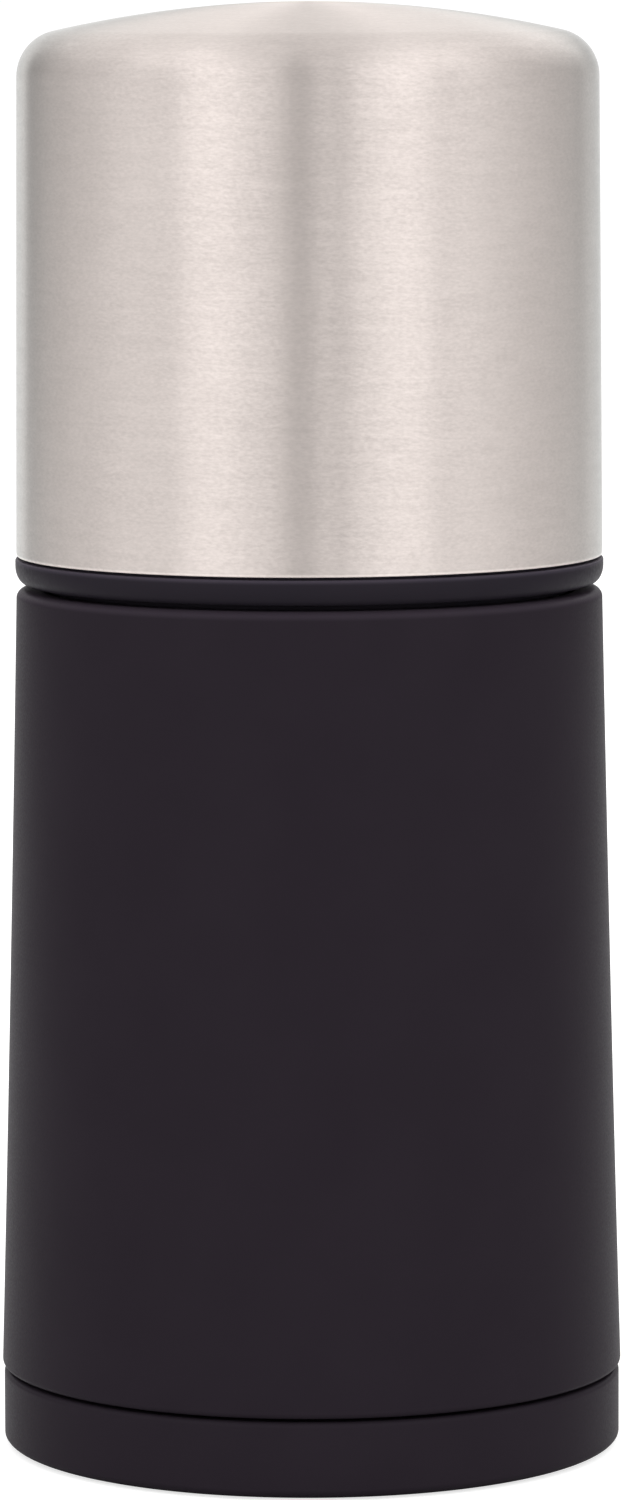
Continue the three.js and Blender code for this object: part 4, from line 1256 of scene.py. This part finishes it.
def tent():
    """The world: a pale light tent with soft round lights on it."""
    world = bpy.data.worlds.new("tent")
    tree = empty_tree(world)
    out = add(tree, "OutputWorld")
    back = add(tree, "Background")
    where = add(tree, "TexCoord")
    x, y, z = split(tree, where.outputs["Generated"])
    turned = maths(tree, "ARCTAN2", x, maths(tree, "MULTIPLY", y, -1))
    share = maths(tree, "MULTIPLY_ADD", turned, 0.5 / pi, 0.5)
    ramp = add(tree, "ValToRGB")
    ramp.color_ramp.interpolation = "EASE"
    elements = ramp.color_ramp.elements
    while len(elements) < len(TENT):
        elements.new(0.5)
    for element, (azimuth, level) in zip(elements, TENT):
        element.position = azimuth / 360 + 0.5
        element.color = (*[level / TENT_SCALE] * 3, 1)
    link(tree, share, ramp.inputs[0])

    ends, begins = (sin(radians(a)) for a in (TENT_SIDES_END, TENT_TOP_BEGINS))
    high = smooth_step(tree, z, ends, begins)
    side = maths(tree, "MULTIPLY", ramp.outputs[0], maths(tree, "SUBTRACT", 1, high))
    level = maths(tree, "MULTIPLY_ADD", high, TENT_TOP / TENT_SCALE, side)
    for turned, rise, reach, full, strength in SOFT_LIGHTS:
        middle = direction(turned, rise)
        towards = maths(tree, "MULTIPLY", x, middle.x)
        towards = maths(tree, "MULTIPLY_ADD", y, middle.y, towards)
        towards = maths(tree, "MULTIPLY_ADD", z, middle.z, towards)
        ends, begins = (cos(radians(a)) for a in (reach, full))
        share = smooth_step(tree, towards, ends, begins)
        level = maths(tree, "MULTIPLY_ADD", share, strength / TENT_SCALE, level)
    link(tree, maths(tree, "MULTIPLY", level, TENT_SCALE), back.inputs[1])
    link(tree, back.outputs[0], out.inputs[0])
    back.inputs[0].default_value = (1, 1, 1, 1)
    bpy.context.scene.world = world


def floor_disc():
    """A flat disc of rings, in metres."""
    bm = bmesh.new()
    angles = [2 * pi * k / FLOOR_SIDES for k in range(FLOOR_SIDES)]
    rings = [[bm.verts.new((radius * cos(a), radius * sin(a), 0)) for a in angles]
             for radius in FLOOR_RINGS]
    middle = bm.verts.new((0, 0, 0))
    for k in range(FLOOR_SIDES):
        n = (k + 1) % FLOOR_SIDES
        bm.faces.new((middle, rings[0][k], rings[0][n]))
        for low, high in zip(rings, rings[1:]):
            bm.faces.new((low[k], high[k], high[n], low[n]))
    return new_mesh("floor", bm)


def floor():
    """A pale floor that fades into the tent far from the object, so that no edge of it shows."""
    mesh = floor_disc()
    piece = new_object("floor", mesh)
    piece.location.z = -FLOOR_DROP * MM
    material = bpy.data.materials.new("floor")
    tree = empty_tree(material)
    out = add(tree, "OutputMaterial")
    matt = add(tree, "BsdfDiffuse")
    glow = add(tree, "Emission")
    both = add(tree, "AddShader")
    clear = add(tree, "BsdfTransparent")
    fade = add(tree, "MixShader")
    rays = add(tree, "LightPath")
    where = add(tree, "TexCoord")
    length = add(tree, "VectorMath")
    length.operation = "LENGTH"
    link(tree, where.outputs["Object"], length.inputs[0])
    distance = length.outputs["Value"]

    matt.inputs[0].default_value = (*[FLOOR_GREY] * 3, 1)
    bounced = rays.outputs["Is Glossy Ray"], rays.outputs["Is Transmission Ray"]
    mirrored = maths(tree, "MAXIMUM", *bounced)
    # painted shadow: the mirrored glow is left out under the foot, so the base's lower edge mirrors
    # a dark floor
    mirrored = maths(tree, "MULTIPLY", mirrored, smooth_step(tree, distance, *FOOT_PAINTED_SHADOW))
    mirrored = maths(tree, "MULTIPLY", mirrored, MIRRORED_GLOW)
    seen = maths(tree, "MULTIPLY", rays.outputs["Is Camera Ray"], FLOOR_GLOW)
    link(tree, maths(tree, "MAXIMUM", seen, mirrored), glow.inputs[1])
    link(tree, matt.outputs[0], both.inputs[0])
    link(tree, glow.outputs[0], both.inputs[1])
    link(tree, smooth_step(tree, distance, *FLOOR_FADE), fade.inputs[0])
    link(tree, both.outputs[0], fade.inputs[1])
    link(tree, clear.outputs[0], fade.inputs[2])
    link(tree, fade.outputs[0], out.inputs[0])
    mesh.materials.append(material)


steel_skin()
head_moulding()
body_sleeve()
foot_cup()
thread_ring()
seal_cord()
disc_holder()
grating_disc()
disc_clamp()
nutmeg_tube()
glide_washer()
keeper_ring()
hex_rod()
prong_disc()
prong_pins()
screws()
rod_stop()
coil_spring()
camera()
tent()
floor()

bpy.context.scene.view_settings.view_transform = "Standard"
